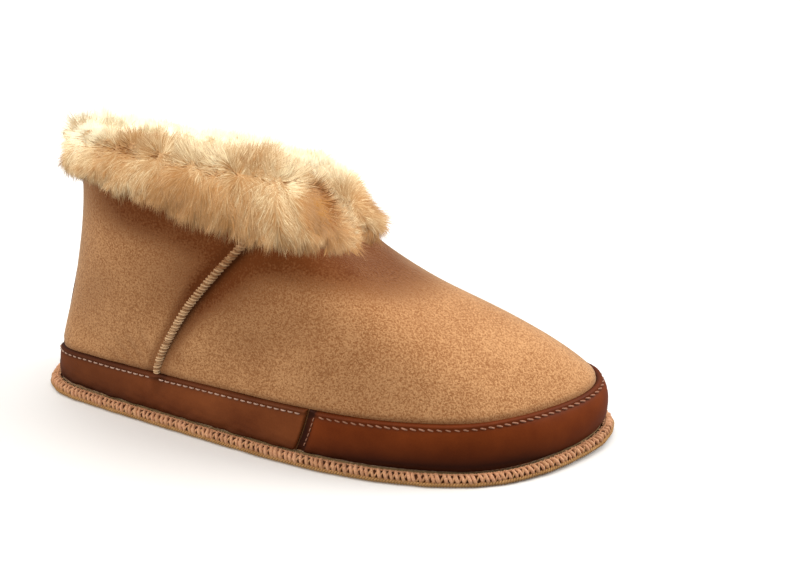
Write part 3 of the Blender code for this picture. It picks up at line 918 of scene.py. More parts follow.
def suede_material(colours):
    """Napped suede: fine mottled nap, broad cloudy patches, darker where shade says, soft sheen."""
    m = Shader("suede")
    nap = m.noise(0.0009, 1.0, 0.5)
    fine = m.noise(0.0005, 1.0, 0.5)
    cloud = m.noise(0.014, 3.0, 0.55)
    broad = m.noise(0.055, 2.0, 0.5)
    tone = m.tone((nap, 2.4), (fine, 2.2), (cloud, 0.6), (broad, 0.5))
    colour = m.mix(tone, colours.suede_deep, colours.suede_light)
    dark = (m.shade() * (0.40 + nap + cloud * 0.4)).clamp()
    colour = m.mix(dark, colour, colours.suede_dark)
    normal = m.bump(nap * 0.8 + fine * 0.5, 0.6, 0.0005)
    normal = m.bump(cloud, 0.25, 0.0012, normal)
    return m.set(
        Base_Color=colour, Roughness=0.95, Specular_IOR_Level=0.05, Normal=normal,
        Sheen_Weight=0.75, Sheen_Roughness=0.38, Sheen_Tint=(1.0, 0.8, 0.58),
    )


def leather_material(colours, light, deep, name="leather"):
    """Smooth dyed leather: fine pores, cloudy dye, darker where shade says (burnished edges and painted
    shade), half gloss.
    """
    m = Shader(name)
    pores = m.cells(0.0009)
    cloud = m.noise(0.012, 3.0, 0.55)
    broad = m.noise(0.045, 2.0, 0.5)
    grain = m.noise(0.0007, 3.0, 0.6)
    tone = m.tone((cloud, 1.1), (broad, 0.9), (grain, 0.5))
    colour = m.mix(m.shade().clamp(), m.mix(tone, deep, light), colours.leather_burnish_and_shade)
    normal = m.bump(grain, 0.14, 0.00012, m.bump(pores, 0.12, 0.00012))
    rough = 0.48 + (cloud - 0.5) * 0.25 + grain * 0.06
    return m.set(Base_Color=colour, Roughness=rough, Specular_IOR_Level=0.11, Normal=normal)


def wool_strand_material(colours):
    """Wool fibre: across the map by its tone from stained to white, along it from painted shade at the root
    to a paler tip.

    The palest wool gets a painted glow: a little emission that brightens it as if light passed on through its
    fibres.
    """
    m = Shader("wool_strands")
    place = m.node("ShaderNodeUVMap", {"uv_map": "OFBake"})
    tint = m.node("ShaderNodeSeparateXYZ", {}, {0: place}, 0)
    rise = m.node("ShaderNodeSeparateXYZ", {}, {0: place}, 1)
    own = m.ramp(tint, [
        (0.0, colours.wool_deep),
        (0.18, colours.wool_stain),
        (0.36, colours.wool_fringe),
        (0.62, colours.wool_peach),
        (0.86, colours.wool_cream),
        (1.0, colours.wool_white),
    ])
    tip = m.mix(0.12, own, colours.wool_white)
    # Painted shade at the root, for the shadow that the strands don't throw; the paler tip is the wool's own.
    root = m.mix(0.20, own, colours.wool_deep)
    colour = m.mix(rise.between(0.0, 0.5), root, own)
    colour = m.mix(rise.between(0.45, 1.0), colour, tip)
    # Painted light: the palest strands glow a little.
    glow = m.mix(tint.between(0.64, 0.98), BLACK, colours.wool_painted_glow)
    return m.set(
        Base_Color=colour, Roughness=0.95, Specular_IOR_Level=0.03,
        Emission_Color=glow, Emission_Strength=1.0,
    )


def wool_body_material(colours):
    """Dense wool under the long fibres: clumped curls in two tones, deeper where shade says."""
    m = Shader("wool_body")
    curl = m.noise(0.0022, 4.0, 0.7)
    cloud = m.noise(0.012, 3.0, 0.6)
    colour = m.mix(m.tone((curl, 1.4), (cloud, 0.8)), colours.wool_cream, colours.wool_white)
    colour = m.mix(m.shade().clamp(), colour, colours.wool_peach)
    normal = m.bump(curl, 0.4, 0.0010)
    return m.set(Base_Color=colour, Roughness=0.95, Specular_IOR_Level=0.03, Normal=normal)


def thread_material(name, light, dark, size=0.0006, shaded=None):
    """Spun thread: fine twist in two tones of its colour, and a third where shade says."""
    m = Shader(name)
    twist = m.noise(size, 2.0, 0.6)
    uneven = m.noise(0.006, 2.0, 0.5)
    colour = m.mix(m.tone((twist, 1.5), (uneven, 0.9)), dark, light)
    if shaded is not None:
        colour = m.mix(m.shade().clamp(), colour, shaded)
    normal = m.bump(twist, 0.4, 0.00015)
    return m.set(Base_Color=colour, Roughness=0.8, Specular_IOR_Level=0.10, Normal=normal)


def sole_material(colours):
    """Rough sole suede: coarse nap with scuffed pale patches."""
    m = Shader("sole_suede")
    nap = m.noise(0.0014, 3.0, 0.7)
    cloud = m.noise(0.022, 3.0, 0.6)
    colour = m.mix(m.tone((nap, 0.9), (cloud, 0.8)), colours.sole_deep, colours.sole_light)
    return m.set(
        Base_Color=colour, Roughness=0.95, Specular_IOR_Level=0.1, Normal=m.bump(nap, 0.5, 0.0004),
        Sheen_Weight=0.2, Sheen_Roughness=0.5,
    )


def copper_material(colours):
    """Soft copper foil with a brushed, slightly worn face."""
    m = Shader("copper_dot")
    wear = m.noise(0.0011, 3.0, 0.6)
    colour = m.mix(wear.between(0.35, 0.75), colours.copper, colours.copper_worn)
    normal = m.bump(wear, 0.2, 0.0001)
    return m.set(Base_Color=colour, Metallic=1.0, Roughness=0.30 + wear * 0.25, Normal=normal)


# ---------------------------------------------------------------------------------------------------
# Pieces
# ---------------------------------------------------------------------------------------------------

def suede_shade(s, t, points):
    """Where the suede is darker: along the band, beside the seam and under the cuff."""
    x = points[..., 0]
    z = points[..., 2]
    seam = seam_distance(points)
    high = smooth(z, 30.0, 80.0)
    under_wool = smooth(x, -100.0, -60.0) * (1.0 - 0.35 * smooth(x, 0.0, 30.0))
    parts = {
        "band": fade(z - band_top(np.broadcast_to(s, z.shape)), 1.5),
        "groove": bell(seam, 3.0, 2.4 + 2.6 * high) * (0.35 + 0.65 * high) + 0.5 * bell(seam, -2.3, 1.5),
        "front": fade(seam, 15.0) * (seam > 0.0) * smooth(z, 42.0, 84.0),
        "back": fade(-seam, 14.0) * (seam <= 0.0) * smooth(z, 40.0, 92.0),
        "cuff": smooth(t, 0.70, 0.94) * (0.15 + 0.85 * under_wool),
        "folds": np.clip(-crease_relief(points), 0.0, 1.0),
        "vamp": window(x, 5.0, 30.0, 45.0, 90.0),
    }
    total = sum(SUEDE_SHADES[name] * part for name, part in parts.items())
    return 1.0 - np.exp(-SUEDE_SHADE_RATE * total)


def build_suede(sizes, colours):
    """The suede skin: outer surface with its relief, turned over at the collar, back down inside."""
    s = s_by_length(sizes.suede_around)[:, None]
    t = np.linspace(0.0, 1.0, sizes.suede_levels)[None, :]
    outside = upper_offset(s, t, suede_lift(s, t) * sizes.crease_depth)
    behind = np.linspace(1.0, 0.0, 9)[None, :]
    inside = upper_offset(s, behind, -SUEDE_THICK - 0.4)
    inside[..., 2] = np.maximum(inside[..., 2], FEATHER_Z)
    shade = suede_shade(s, t, upper_point(s, t))
    shade = np.concatenate([shade, np.full(inside.shape[:2], 0.5)], 1)
    points, faces = ring_piece(np.concatenate([outside, inside], axis=1))
    add_piece("suede_upper", points, faces, suede_material(colours), ["upper"], shade=shade)


def build_lining(material):
    """The wool lining: from the back of the suede to a lumpy inner face, closed over the rim."""
    s = s_by_length(220)[:, None]
    t = np.linspace(0.0, 1.0, 36)[None, :]
    lumps = waves(11, 40, 60, 9.0)
    outside = upper_offset(s, np.linspace(0.0, 1.0, 9)[None, :], -SUEDE_THICK - 0.7)
    inside = upper_offset(s, t, -(WALL - 0.9 + 0.7 * lumps(s, t)))
    for part in (outside, inside):
        part[..., 2] = np.maximum(part[..., 2], FEATHER_Z + 0.1)
    # Painted shade: the wool deepens in tone lower inside the shoe.
    shade = np.broadcast_to(0.25 * (1.0 - t), (len(s), t.shape[1]))
    shade = np.concatenate([np.full(outside.shape[:2], 0.4), shade], 1)
    points, faces = ring_piece(np.concatenate([outside, inside[:, ::-1]], axis=1))
    add_piece("wool_lining", points, faces, material, shade=shade)


def plate(inset, foot, top, around):
    """Points and quads of a sole layer: rows straight across between the two sides of the outline."""
    along = np.concatenate([[0.0015, 0.006], np.linspace(0.0125, 0.4875, around), [0.494, 0.4985]])
    blend = 0.5 - 0.5 * np.cos(np.linspace(0.0, math.pi, 29))
    lateral, lateral_out = sole_edge(along)
    medial, medial_out = sole_edge(1.0 - along)
    lateral = (lateral - lateral_out * inset)[:, None]
    medial = (medial - medial_out * inset)[:, None]
    rows = lateral * (1 - blend[None, :, None]) + medial * blend[None, :, None]
    from_side = np.minimum(blend, 1.0 - blend)[None, :] * np.linalg.norm(lateral - medial, axis=-1)
    from_end = np.minimum(along, 0.5 - along)[:, None] * ALL_ROUND
    round_edge = rounded(np.minimum(from_side, from_end), 2.0)
    upper = np.concatenate([rows, (foot + (top - foot) * (0.5 + 0.5 * round_edge))[..., None]], -1)
    lower = np.concatenate([rows, np.full(rows.shape[:2] + (1,), foot)], -1)
    return slab(upper, lower)


def build_soles(colours, wool):
    """The suede sole plate and the wool-covered insole."""
    points, faces = plate(4.5, 0.0, OUTSOLE_THICK, 180)
    add_piece("sole_plate", points, faces, sole_material(colours), ["outsole"], flat=50.0)
    points, faces = plate(FEATHER_INSET + WALL + 0.4, FEATHER_Z, FEATHER_Z + INSOLE_THICK, 130)
    lumps = waves(17, 40, 50, 14.0)
    top = points[:, 2] > FEATHER_Z + 0.6 * INSOLE_THICK
    points[:, 2] += np.where(top, 0.55 * lumps(points[:, 0] / 120.0, points[:, 1] / 90.0), 0.0)
    add_piece("insole_wool", points, faces, wool, ["insole"], shade=np.full(len(points), 0.1))


def strap_span(height):
    """At heights on the heel: half the strap's width as s, and how many millimetres one unit of s is."""
    height = np.atleast_1d(np.asarray(height, dtype=float))
    zero = np.zeros(height.shape)
    along, _ = upper_slopes(zero, t_at_height(zero, height))
    rate = np.linalg.norm(along, axis=-1)
    return strap_half(height) / rate, rate


def skin_at(s, height, lift):
    """Points on the skin at places and heights, moved outward by lift, and the normals there."""
    s, height, lift = np.broadcast_arrays(s, height, lift)
    t = t_at_height(s, height)
    normal = upper_normal(s, t)
    return upper_point(s, t) + normal * lift[..., None], normal


def lengths(points):
    """Distance run along rows of points, from each row's first."""
    step = np.linalg.norm(np.diff(points, axis=0), axis=-1)
    return np.concatenate([np.zeros_like(step[:1]), np.cumsum(step, axis=0)])


def band_relief(s, height, top):
    """Lift of the leather's face over its plain thickness: stitch furrow, sag and wrinkles at the foot."""
    points, _ = skin_at(s, height, 0.0)
    below = top - height
    furrow = -0.34 * bell(below, STITCH_INSET, 0.6)
    roll = 0.16 * bell(below, 1.0, 0.6)
    dip = 0.45 * crease_relief(points)
    seam = seam_distance(points)
    swell = smooth(height, 13.0, 23.0) * (0.75 * bell(seam, 0.0, 1.7) - 0.5 * bell(seam, 4.2, 1.6))
    rear = 1.0 - smooth(points[..., 0], -20.0, 60.0) * 0.75
    wrinkle = 0.30 * waves(23, 16, 90, 3.0)(s, height / 9.0) * fade(height - 7.5, 3.2) * rear
    belly = 0.25 * waves(29, 10, 14, 1.0)(s, height / 20.0)
    press = -0.9 * fade(height - BAND_FOOT_Z, 1.3)
    return furrow + roll + dip + swell + wrinkle + belly + press


def band_shade(points, height, top):
    """Where the band is darker: painted shade at its foot, reaching higher at the toe, in the stitch furrow
    and by the seam's dip; its burnished top edge; and towards the heel.
    """
    x = points[..., 0]
    above = height - BAND_FOOT_Z
    below = top - height
    toe = window(x, 0.0, 60.0, 100.0, 122.0)
    foot = 0.9 * fade(above, 5.0) + 0.55 * toe * np.exp(-(above / 10.0) ** 2)
    rim = (0.7 - 0.25 * toe) * fade(below, 1.1) + 0.35 * bell(below, STITCH_INSET, 0.8)
    heel = 0.25 * (1.0 - smooth(x, -95.0, -55.0))
    seam = 0.3 * bell(seam_distance(points), 4.2, 1.8) * smooth(height, 12.0, 20.0)
    return foot + rim + heel + seam


def build_band_piece(name, node, start, finish, thin_start, thin_finish, material):
    """A piece of the leather band between two slanted ends, each given as its s at the foot and the top."""
    length = abs(finish[1] - start[1]) * ALL_ROUND
    ratio = edge_spaced(int(length / 1.15), length, 1.3)[:, None]
    level = edge_spaced(24, 20.0, 1.3)[None, :]
    begin = start[0] + (start[1] - start[0]) * level
    end = finish[0] + (finish[1] - finish[0]) * level
    s = begin * (1 - ratio) + end * ratio
    top = band_top(s)
    height = BAND_FOOT_Z + (top - BAND_FOOT_Z) * level
    skin_share = 0.93
    from_start = (s - begin) * ALL_ROUND * skin_share
    from_end = (end - s) * ALL_ROUND * skin_share
    cap = np.minimum(np.minimum(rounded(top - height, 1.2), rounded(from_start, 1.0)), rounded(from_end, 1.0))
    near_start = thin_start * np.exp(-(from_start / BAND_LAP) ** 4)
    near_end = thin_finish * np.exp(-(from_end / BAND_LAP) ** 4)
    thick = LEATHER * (1.0 - near_start - near_end)
    lift = GAP + thick * cap + band_relief(s, height, top) * cap
    outside, _ = skin_at(s, height, lift)
    inside, _ = skin_at(s, height, np.minimum(-0.3, lift - 0.4))
    points, faces = slab(outside, inside)
    worn = (thin_start == 0) * np.exp(-from_start / 0.5) + (thin_finish == 0) * np.exp(-from_end / 0.5)
    # Painted shadow where the pieces' thinned ends lap at a joint; an exposed cut end is paler with wear.
    dark = band_shade(outside, height, top) + near_start + near_end - 0.5 * worn
    shade = np.concatenate([dark.ravel(), np.ones(dark.size)])
    add_piece(name, points, faces, material, [node], shade=shade)


def joint_places(side):
    """The s at the foot and at the top of the joint between the band's pieces, on one side."""
    foot = side_place(JOINT_FOOT_X, BAND_FOOT_Z, side)[0]
    top = side_place(JOINT_TOP_X, float(band_height(JOINT_TOP_X)), side)[0]
    return np.array([foot, top])


def stitch_row(s, height, pitch, lift, radius, slant=0.0):
    """Threads laid along a line on the skin: each stitch an arc that dives into its holes."""
    s = np.asarray(s, dtype=float)
    points, _ = skin_at(s, height, lift)
    run = lengths(points)
    count = max(1, int(round(run[-1] / pitch)))
    turn = np.linspace(-0.5, 0.5, 7)
    at = (np.arange(count)[:, None] + 0.5 + STITCH_SHARE * turn) / count * run[-1]
    place = np.interp(at, run, s)
    level = np.interp(at, run, np.broadcast_to(height, s.shape)) - slant * turn
    out = np.interp(at, run, np.broadcast_to(lift, s.shape))
    bow = 1.0 - (2.0 * turn) ** 4
    paths, normals = skin_at(place, level, out + radius * 0.55 + STITCH_DIVE * (bow - 1.0))
    return tubes(paths, normals, radius * (0.55 + 0.45 * bow), 7)


def build_band(sizes, colours):
    """The leather band: toe piece, two rear pieces, and all its stitches."""
    leather = leather_material(colours, colours.leather_light, colours.leather_deep)
    light, deep = colours.toe_leather_light, colours.toe_leather_deep
    toe_leather = leather_material(colours, light, deep, "toe_leather")
    half, rate = strap_span([BAND_FOOT_Z, band_height(-SOLE_LENGTH / 2.0)])
    strap = half + GAP / rate
    slip = BAND_SLIP / ALL_ROUND
    lateral = joint_places(-1)
    medial = joint_places(1)
    build_band_piece("band_rear_outer", "band_rear_lateral", strap, lateral - 0.3 * slip, 0.9, 0.0, leather)
    build_band_piece("band_toe", "band_front", lateral + slip, medial - slip, 0.85, 0.85, toe_leather)
    start = medial + 0.3 * slip
    build_band_piece("band_rear_inner", "band_rear_medial", start, 1.0 - strap, 0.0, 0.9, leather)
    build_rear_stitches(sizes, colours, strap[1], lateral[1], medial[1])
    build_toe_stitches(sizes, colours, lateral, medial)


def build_rear_stitches(sizes, colours, strap, lateral, medial):
    """The stitch rows below the top edge of the band's rear pieces, each broken at its side seam."""
    step = 1.0 / ALL_ROUND
    outer_seam, inner_seam = [side_place(seam_x(BAND_AT_SEAM), BAND_AT_SEAM, side)[0] for side in (-1, 1)]
    rows = []
    for first, last in (
        (strap + 2.5 * step, outer_seam - 2.4 * step),
        (outer_seam + 1.8 * step, lateral - 3.4 * step),
        (medial + 3.4 * step, inner_seam - 1.8 * step),
        (inner_seam + 2.4 * step, 1.0 - strap - 2.5 * step),
    ):
        rows.append(top_row(first, last, sizes.stitch_pitch / METRE, sizes.thread / METRE, 0.12))
    pale = thread_material("band_thread", colours.stitch_light, colours.stitch_dark)
    add_threads("rear_stitches", rows, pale)


def build_toe_stitches(sizes, colours, lateral, medial):
    """The toe piece's stitches: slanted ones below its top edge, and a row down each joint."""
    step = 1.0 / ALL_ROUND
    pitch = sizes.stitch_pitch / METRE
    thread = sizes.thread / METRE
    rows = [top_row(lateral[1] + 4.5 * step, medial[1] - 4.5 * step, pitch * 1.05, thread * 1.15, 0.8)]
    for joint, way in ((lateral, 1.0), (medial, -1.0)):
        level = np.linspace(0.93, 0.16, 60)
        s = joint[0] + (joint[1] - joint[0]) * level + way * 3.4 * step
        height = BAND_FOOT_Z + (band_top(s) - STITCH_INSET + 1.0 - BAND_FOOT_Z) * level
        rows.append(stitch_row(s, height, 2.6, GAP + LEATHER * 0.85, thread * 0.7))
    dull = thread_material("toe_thread", colours.toe_stitch_light, colours.toe_stitch_dark)
    add_threads("toe_stitches", rows, dull)


def top_row(first, last, pitch, thread, slant):
    """The row of stitches just below the band's top edge, between two places."""
    s = np.linspace(first, last, 900)
    height = band_top(s) - STITCH_INSET
    points, _ = skin_at(s, height, 0.0)
    lift = GAP + LEATHER - 0.12 + 0.45 * crease_relief(points)
    return stitch_row(s, height, pitch, lift, thread, slant)


def over_cuff(height):
    """How far the strap is lifted where it passes over the cuff's pressed wool."""
    return (CUFF_THIN + GAP) * smooth(height, STRAP_OVER_CUFF_FROM, STRAP_OVER_CUFF_TO)


def build_strap(sizes, colours):
    """The heel strap with its edge stitches, the pull loop above it and the side tag with its dot."""
    leather = leather_material(colours, colours.leather_light, colours.leather_deep, "strap_leather")
    length = STRAP[-1][0] - STRAP[0][0]
    heights = STRAP[0][0] + length * edge_spaced(110, length, 1.0)
    above = heights - heights[0]
    across = edge_spaced(20, 14.0, 1.0)[:, None] * 2.0 - 1.0
    half, rate = strap_span(heights)
    s = across * half
    from_edge = (1.0 - np.abs(across)) * (half * rate)
    cap = rounded(from_edge, 1.0) * rounded(above, 1.0)
    furrow = -0.22 * bell(from_edge, 2.0, 0.6)
    wrinkle = 0.30 * waves(31, 14, 26, 2.2)(s * 6.0, heights / 9.0) * fade(heights - 8.0, 3.5)
    uneven = 0.2 * waves(37, 10, 10, 1.0)(s * 4.0, heights / 36.0)
    over = over_cuff(heights)
    outside, _ = skin_at(s, heights, GAP + over + (STRAP_THICK + 0.25 + furrow + wrinkle + uneven) * cap)
    inside, _ = skin_at(s, heights, over - 0.2)
    points, faces = slab(outside, inside)
    dark = 0.8 * np.exp(-from_edge / 0.9) + 0.5 * np.exp(-above / 4.0)
    shade = np.concatenate([dark.ravel(), np.ones(dark.size)])
    add_piece("strap_leather_piece", points, faces, leather, ["heel_strap"], shade=shade)
    build_strap_stitches(sizes, colours)
    build_loop(leather)
    build_tag(colours, leather)


def build_strap_stitches(sizes, colours):
    """A row of stitches up each edge of the strap, and one across its top."""
    thread = sizes.thread / METRE
    height = np.linspace(9.0, 108.0, 500)
    half, rate = strap_span(height)
    lift = over_cuff(height) + GAP + STRAP_THICK - 0.05
    rows = [stitch_row(way * (half - 2.0 / rate), height, 3.3, lift, thread * 0.82) for way in (-1.0, 1.0)]
    half, rate = strap_span(107.5)
    end = half[0] - 1.6 / rate[0]
    over = CUFF_THIN + GAP * 2 + STRAP_THICK
    rows.append(stitch_row(np.linspace(-end, end, 40), 108.2, 2.6, over, thread * 0.8))
    pale = thread_material("strap_thread", colours.stitch_light, colours.stitch_dark)
    add_threads("strap_stitches", rows, pale)


def build_loop(leather):
    """The pull loop: one strip of leather folded over, its face wider at the top, leaning back."""
    root = upper_point(0.0, t_at_height(0.0, STRAP[-1][0]))
    back = column(LOOP, LOOP_COLUMNS, "back")
    up = column(LOOP, LOOP_COLUMNS, "up")
    run = np.append(0.0, np.cumsum(np.hypot(np.diff(back), np.diff(up))))
    path = np.column_stack([np.append(back, LOOP_RETURN[0]), np.append(up, LOOP_RETURN[1])])
    knots = np.append(run, run[-1] + LOOP_RETURN_STEP)
    fine = edge_spaced(60, run[-1], 0.7) * run[-1]
    path = periodic_spline(knots, path, fine, run[-1] + 2.0 * LOOP_RETURN_STEP)
    tangent = unit(np.gradient(path, axis=0))
    normal = np.column_stack([tangent[:, 1], -tangent[:, 0]])
    half = LOOP_HALF_WIDTH_FOOT + (LOOP_HALF_WIDTH_TOP - LOOP_HALF_WIDTH_FOOT) * path[:, 1] / up.max()
    across = edge_spaced(14, 14.0, 0.8)[:, None] * 2.0 - 1.0
    from_edge = (1.0 - np.abs(across)) * half
    cap = rounded(from_edge, 0.8)
    sides = []
    for way in (1.0, -1.0):
        centre = path + normal * (way * (0.25 + 0.5 * cap))[..., None]
        x, y, z = root[0] - centre[..., 0], root[1] + across * half, root[2] + centre[..., 1]
        sides.append(np.stack([x, y, z], -1))
    points, faces = slab(*sides)
    dark = 0.9 * np.exp(-from_edge / 0.7)
    shade = np.concatenate([dark.ravel(), dark.ravel() * 0.5 + 0.5])
    add_piece("pull_loop_leather", points, flipped(faces), leather, ["pull_loop"], shade=shade)


def build_tag(colours, leather):
    """The folded side tag: a rounded tab with a soft fold, and a plain round copper dot on it."""
    heights = TAG_FOOT + (TAG_TOP - TAG_FOOT) * edge_spaced(16, TAG_TOP - TAG_FOOT, 0.9)
    ratio = edge_spaced(16, TAG_LENGTH, 1.2)[::-1, None]
    half, rate = strap_span(heights)
    s = 1.0 - (half + 0.2 / rate) - ratio * (TAG_LENGTH / rate)
    from_edge = np.minimum(heights - TAG_FOOT, TAG_TOP - heights)
    from_fold = (1.0 - ratio) * TAG_LENGTH
    cap = np.minimum(rounded(from_edge, 0.9), rounded(from_fold, 1.2))
    lift = GAP + TAG_THICK * cap * (0.82 + 0.18 * np.exp(-((from_fold - 1.5) / 2.0) ** 2))
    outside, _ = skin_at(s, heights, lift)
    inside, _ = skin_at(s, heights, 0.05)
    points, faces = slab(outside, inside)
    dark = 0.9 * np.exp(-np.minimum(from_edge, from_fold) / 0.8)
    shade = np.concatenate([dark.ravel(), np.ones(dark.size)])
    add_piece("side_tag_leather", points, faces, leather, ["side_tag"], shade=shade)
    build_dot(copper_material(colours))


def build_dot(copper):
    """The round dot in the middle of the tag's face."""
    sides = 48
    middle = 0.5 * (TAG_FOOT + TAG_TOP)
    half, rate = strap_span(middle)
    centre = 1.0 - half[0] - 0.2 / rate[0] - 0.5 * TAG_LENGTH / rate[0]
    angle = np.linspace(0.0, 2.0 * math.pi, sides + 1)[:-1][:, None]
    radius, rise = np.array(DOT).T
    s = centre + radius * np.cos(angle) / rate[0]
    points, _ = skin_at(s, middle + radius * np.sin(angle), GAP + TAG_THICK * 0.84 + rise)
    faces = [grid_quads(sides, len(DOT), True, False), np.arange(sides)[None, ::-1] * len(DOT)]
    add_piece("tag_dot", points, flipped(faces), copper)


def build_seams(sizes, colours):
    """The overlocked side seams: a low ridge with slanted thread loops wound over it, on both sides."""
    pitch = sizes.seam_pitch / METRE
    loops = []
    layers = []
    cores = []
    for side in (-1, 1):
        base, normal, across = seam_line(side)
        cores.append(seam_core(base, normal, across * side))
        run = lengths(base)
        count = int(run[-1] / pitch)
        rng = np.random.default_rng(71 + side)
        for start, twist, radius, height in SEAM_LAYERS:
            turn = np.linspace(-1.0, 1.0, 9)
            at = np.arange(count)[:, None] + 0.5 + start + twist * 0.5 * turn
            at = np.clip((at + 0.10 * rng.standard_normal((count, 1))) * pitch, 0.2, run[-1] - 0.2)
            middle, out, sideways = [
                np.stack([np.interp(at, run, field[:, k]) for k in range(3)], -1)
                for field in (base, normal, across)
            ]
            out = unit(out)
            sideways = unit(sideways)
            sine = np.sin(turn * SEAM_WRAP)[:, None]
            cosine = np.cos(turn * SEAM_WRAP)[:, None]
            paths = middle + sideways * (SEAM_REACH * sine) + out * (height * cosine + 0.10)
            loops.append(tubes(paths, unit(sideways * sine + out * cosine), radius, 6))
            uneven = np.clip(start * 1.5 + 0.40 * rng.standard_normal(count), 0.0, 1.0)
            layers.append(np.repeat(uneven, len(loops[-1][0]) // count))
    high = np.concatenate([points[:, 2] for points, _ in loops])
    # Painted shade on the loops as they rise towards the cuff; the rest is an uneven tone per loop, darker in
    # the second layer.
    tint = smooth(high, 45.0, 95.0) * 0.6 + np.concatenate(layers) * 0.8
    thread = thread_material("seam_thread", colours.seam_light, colours.seam_dark, 0.0009, colours.seam_shade)
    add_threads("side_seam_loops", loops, thread, tint)
    add_threads("side_seam_edges", cores, thread_material("seam_core", colours.seam_core, colours.seam_dark))


def seam_line(side):
    """The side seam's line on the skin, sunk at its foot: points, normals and directions across it."""
    height = np.linspace(BAND_AT_SEAM - 0.9, 99.0, 400)
    even = 61
    x = np.pad(seam_x(height), even // 2, mode="reflect", reflect_type="odd")
    x = np.convolve(x, np.ones(even) / even, "valid")
    sunk = -1.0 * np.exp(-((height - height[0]) / 1.8) ** 2)
    base, normal = skin_at(side_place(x, height, side), height, 0.1 + sunk)
    tangent = unit(np.gradient(base, axis=0))
    return base, normal, unit(np.cross(normal, tangent)) * side


def seam_core(base, normal, across):
    """The two skin edges inside the seam: a low rounded ridge along it."""
    angle = np.linspace(-1.9, 1.9, 9)
    ring = across[:, None] * (1.35 * np.sin(angle))[None, :, None]
    ring = ring + normal[:, None] * (0.92 * np.cos(angle) + 0.05)[None, :, None]
    points = base[:, None] + ring
    rows, columns = points.shape[:2]
    first = np.arange(columns)[None, ::-1]
    last = np.arange(columns)[None, :] + (rows - 1) * columns
    return points.reshape(-1, 3), flipped([grid_quads(rows, columns, False, True), first, last])


def around_edge(place, inset, height):
    """Points near the sole's edge: at places, inset from the outline, at a height, and outward normals."""
    place, inset, height = np.broadcast_arrays(place, inset, height)
    point, normal = sole_edge(place)
    points = np.concatenate([point - normal * inset[..., None], height[..., None]], -1)
    return points, np.concatenate([normal, np.zeros(place.shape + (1,))], -1)


def twisted_cord(inset, height, period, swing, radius, steps, sides):
    """Two threads twisted round each other along the sole's edge: a pair of helices."""
    count = int(round(ALL_ROUND / period)) * steps
    place = s_by_length(count)
    inset = inset + 0.12 * waves(73, 12, 60, 1.0)(place, 0.0)
    angle = np.arange(count) / steps * 2.0 * math.pi
    threads = []
    for phase in (0.0, math.pi):
        aside = np.cos(angle + phase)
        above = np.sin(angle + phase)
        path, normal = around_edge(place, inset - swing * aside, height + swing * above)
        out = normal * aside[:, None]
        out[:, 2] += above
        threads.append(tubes(path[None], unit(out)[None], radius, sides, True))
    return threads


def build_edge(sizes, colours):
    """The overlocked sole edge: a core bar, thread ribs over it, a rope below and a cord on top."""
    s = s_by_length(600)
    points, faces = ring_piece(np.stack([around_edge(s, inset, height)[0] for inset, height in EDGE_CORE], 1))
    # The core shows only in the gaps between the ribs: its dark colours paint the shade there.
    core = thread_material("edge_core", colours.edge_core, colours.leather_burnish_and_shade)
    add_piece("edge_core", points, faces, core, ["edge_binding"])
    pitch = sizes.loop_pitch / METRE
    radius = sizes.rib_radius / METRE
    material = edge_thread_material(colours)
    for name, lean, start, share, sides, deeper in (
        ("edge_ribs", 0.42, 0.0, 1.0, 7, 0.0),
        ("edge_cross_threads", -0.62, 0.5, 0.62, 5, 0.16),
    ):
        points, faces, tint = edge_loops(pitch, lean, start, radius * share, sides, deeper)
        add_piece(name, points, faces, material, shade=tint)
    ochre = thread_material("edge_rope", colours.edge_ochre, colours.edge_ochre_dark)
    add_threads("edge_rope", twisted_cord(0.12, 1.30, pitch, 0.50, 0.52, 6, 6), ochre)
    pink = thread_material("edge_cord", colours.edge_light, colours.edge_dark)
    add_threads("edge_cord", twisted_cord(2.75, 4.55, 2.3, 0.28, 0.32, 5, 4), pink)


def edge_loops(pitch, lean, start, thread, sides, deeper):
    """Threads that pass over the sole's edge side by side, each leaning along it, and how ochre each is."""
    count = int(round(ALL_ROUND / pitch))
    rng = np.random.default_rng(5 + sides)
    centre = s_at_length((np.arange(count) + start + 0.12 * rng.standard_normal(count)) / count * ALL_ROUND)
    inset, height = np.array(EDGE_THREAD).T
    inset = inset + deeper
    place = centre[:, None] + np.linspace(-lean, lean, len(inset)) / count
    paths, normal = around_edge(place, inset + 0.12 * rng.standard_normal((count, 1)), height)
    slope_in = np.gradient(inset)
    slope_up = np.gradient(height)
    size = np.hypot(slope_in, slope_up)
    face = normal * (-slope_up / size)[:, None]
    face[..., 2] = -slope_in / size
    points, faces = tubes(paths, face, thread * (1.0 + 0.12 * rng.standard_normal((count, 1))), sides)
    tone = np.repeat(0.16 * rng.standard_normal(count), len(points) // count)
    low = np.clip(1.0 - (points[:, 2] - 1.0) / 2.2, 0.0, 1.0)
    return points, faces, np.clip(low + tone + deeper * 2.5, 0.0, 1.0)


def edge_thread_material(colours):
    """Overlocking thread: pinkish tan above, ochre below where shade says."""
    m = Shader("edge_thread")
    twist = m.noise(0.0006, 2.0, 0.6)
    uneven = m.noise(0.005, 2.0, 0.5)
    tone = m.tone((twist, 1.4), (uneven, 1.0))
    high = m.mix(tone, colours.edge_dark, colours.edge_light)
    low = m.mix(tone, colours.edge_ochre_dark, colours.edge_ochre)
    return m.set(
        Base_Color=m.mix(m.shade().clamp(), high, low), Roughness=0.7, Specular_IOR_Level=0.3,
        Normal=m.bump(twist, 0.4, 0.00015), Sheen_Weight=0.15, Sheen_Roughness=0.5,
    )


# ---------------------------------------------------------------------------------------------------
# Wool
# ---------------------------------------------------------------------------------------------------

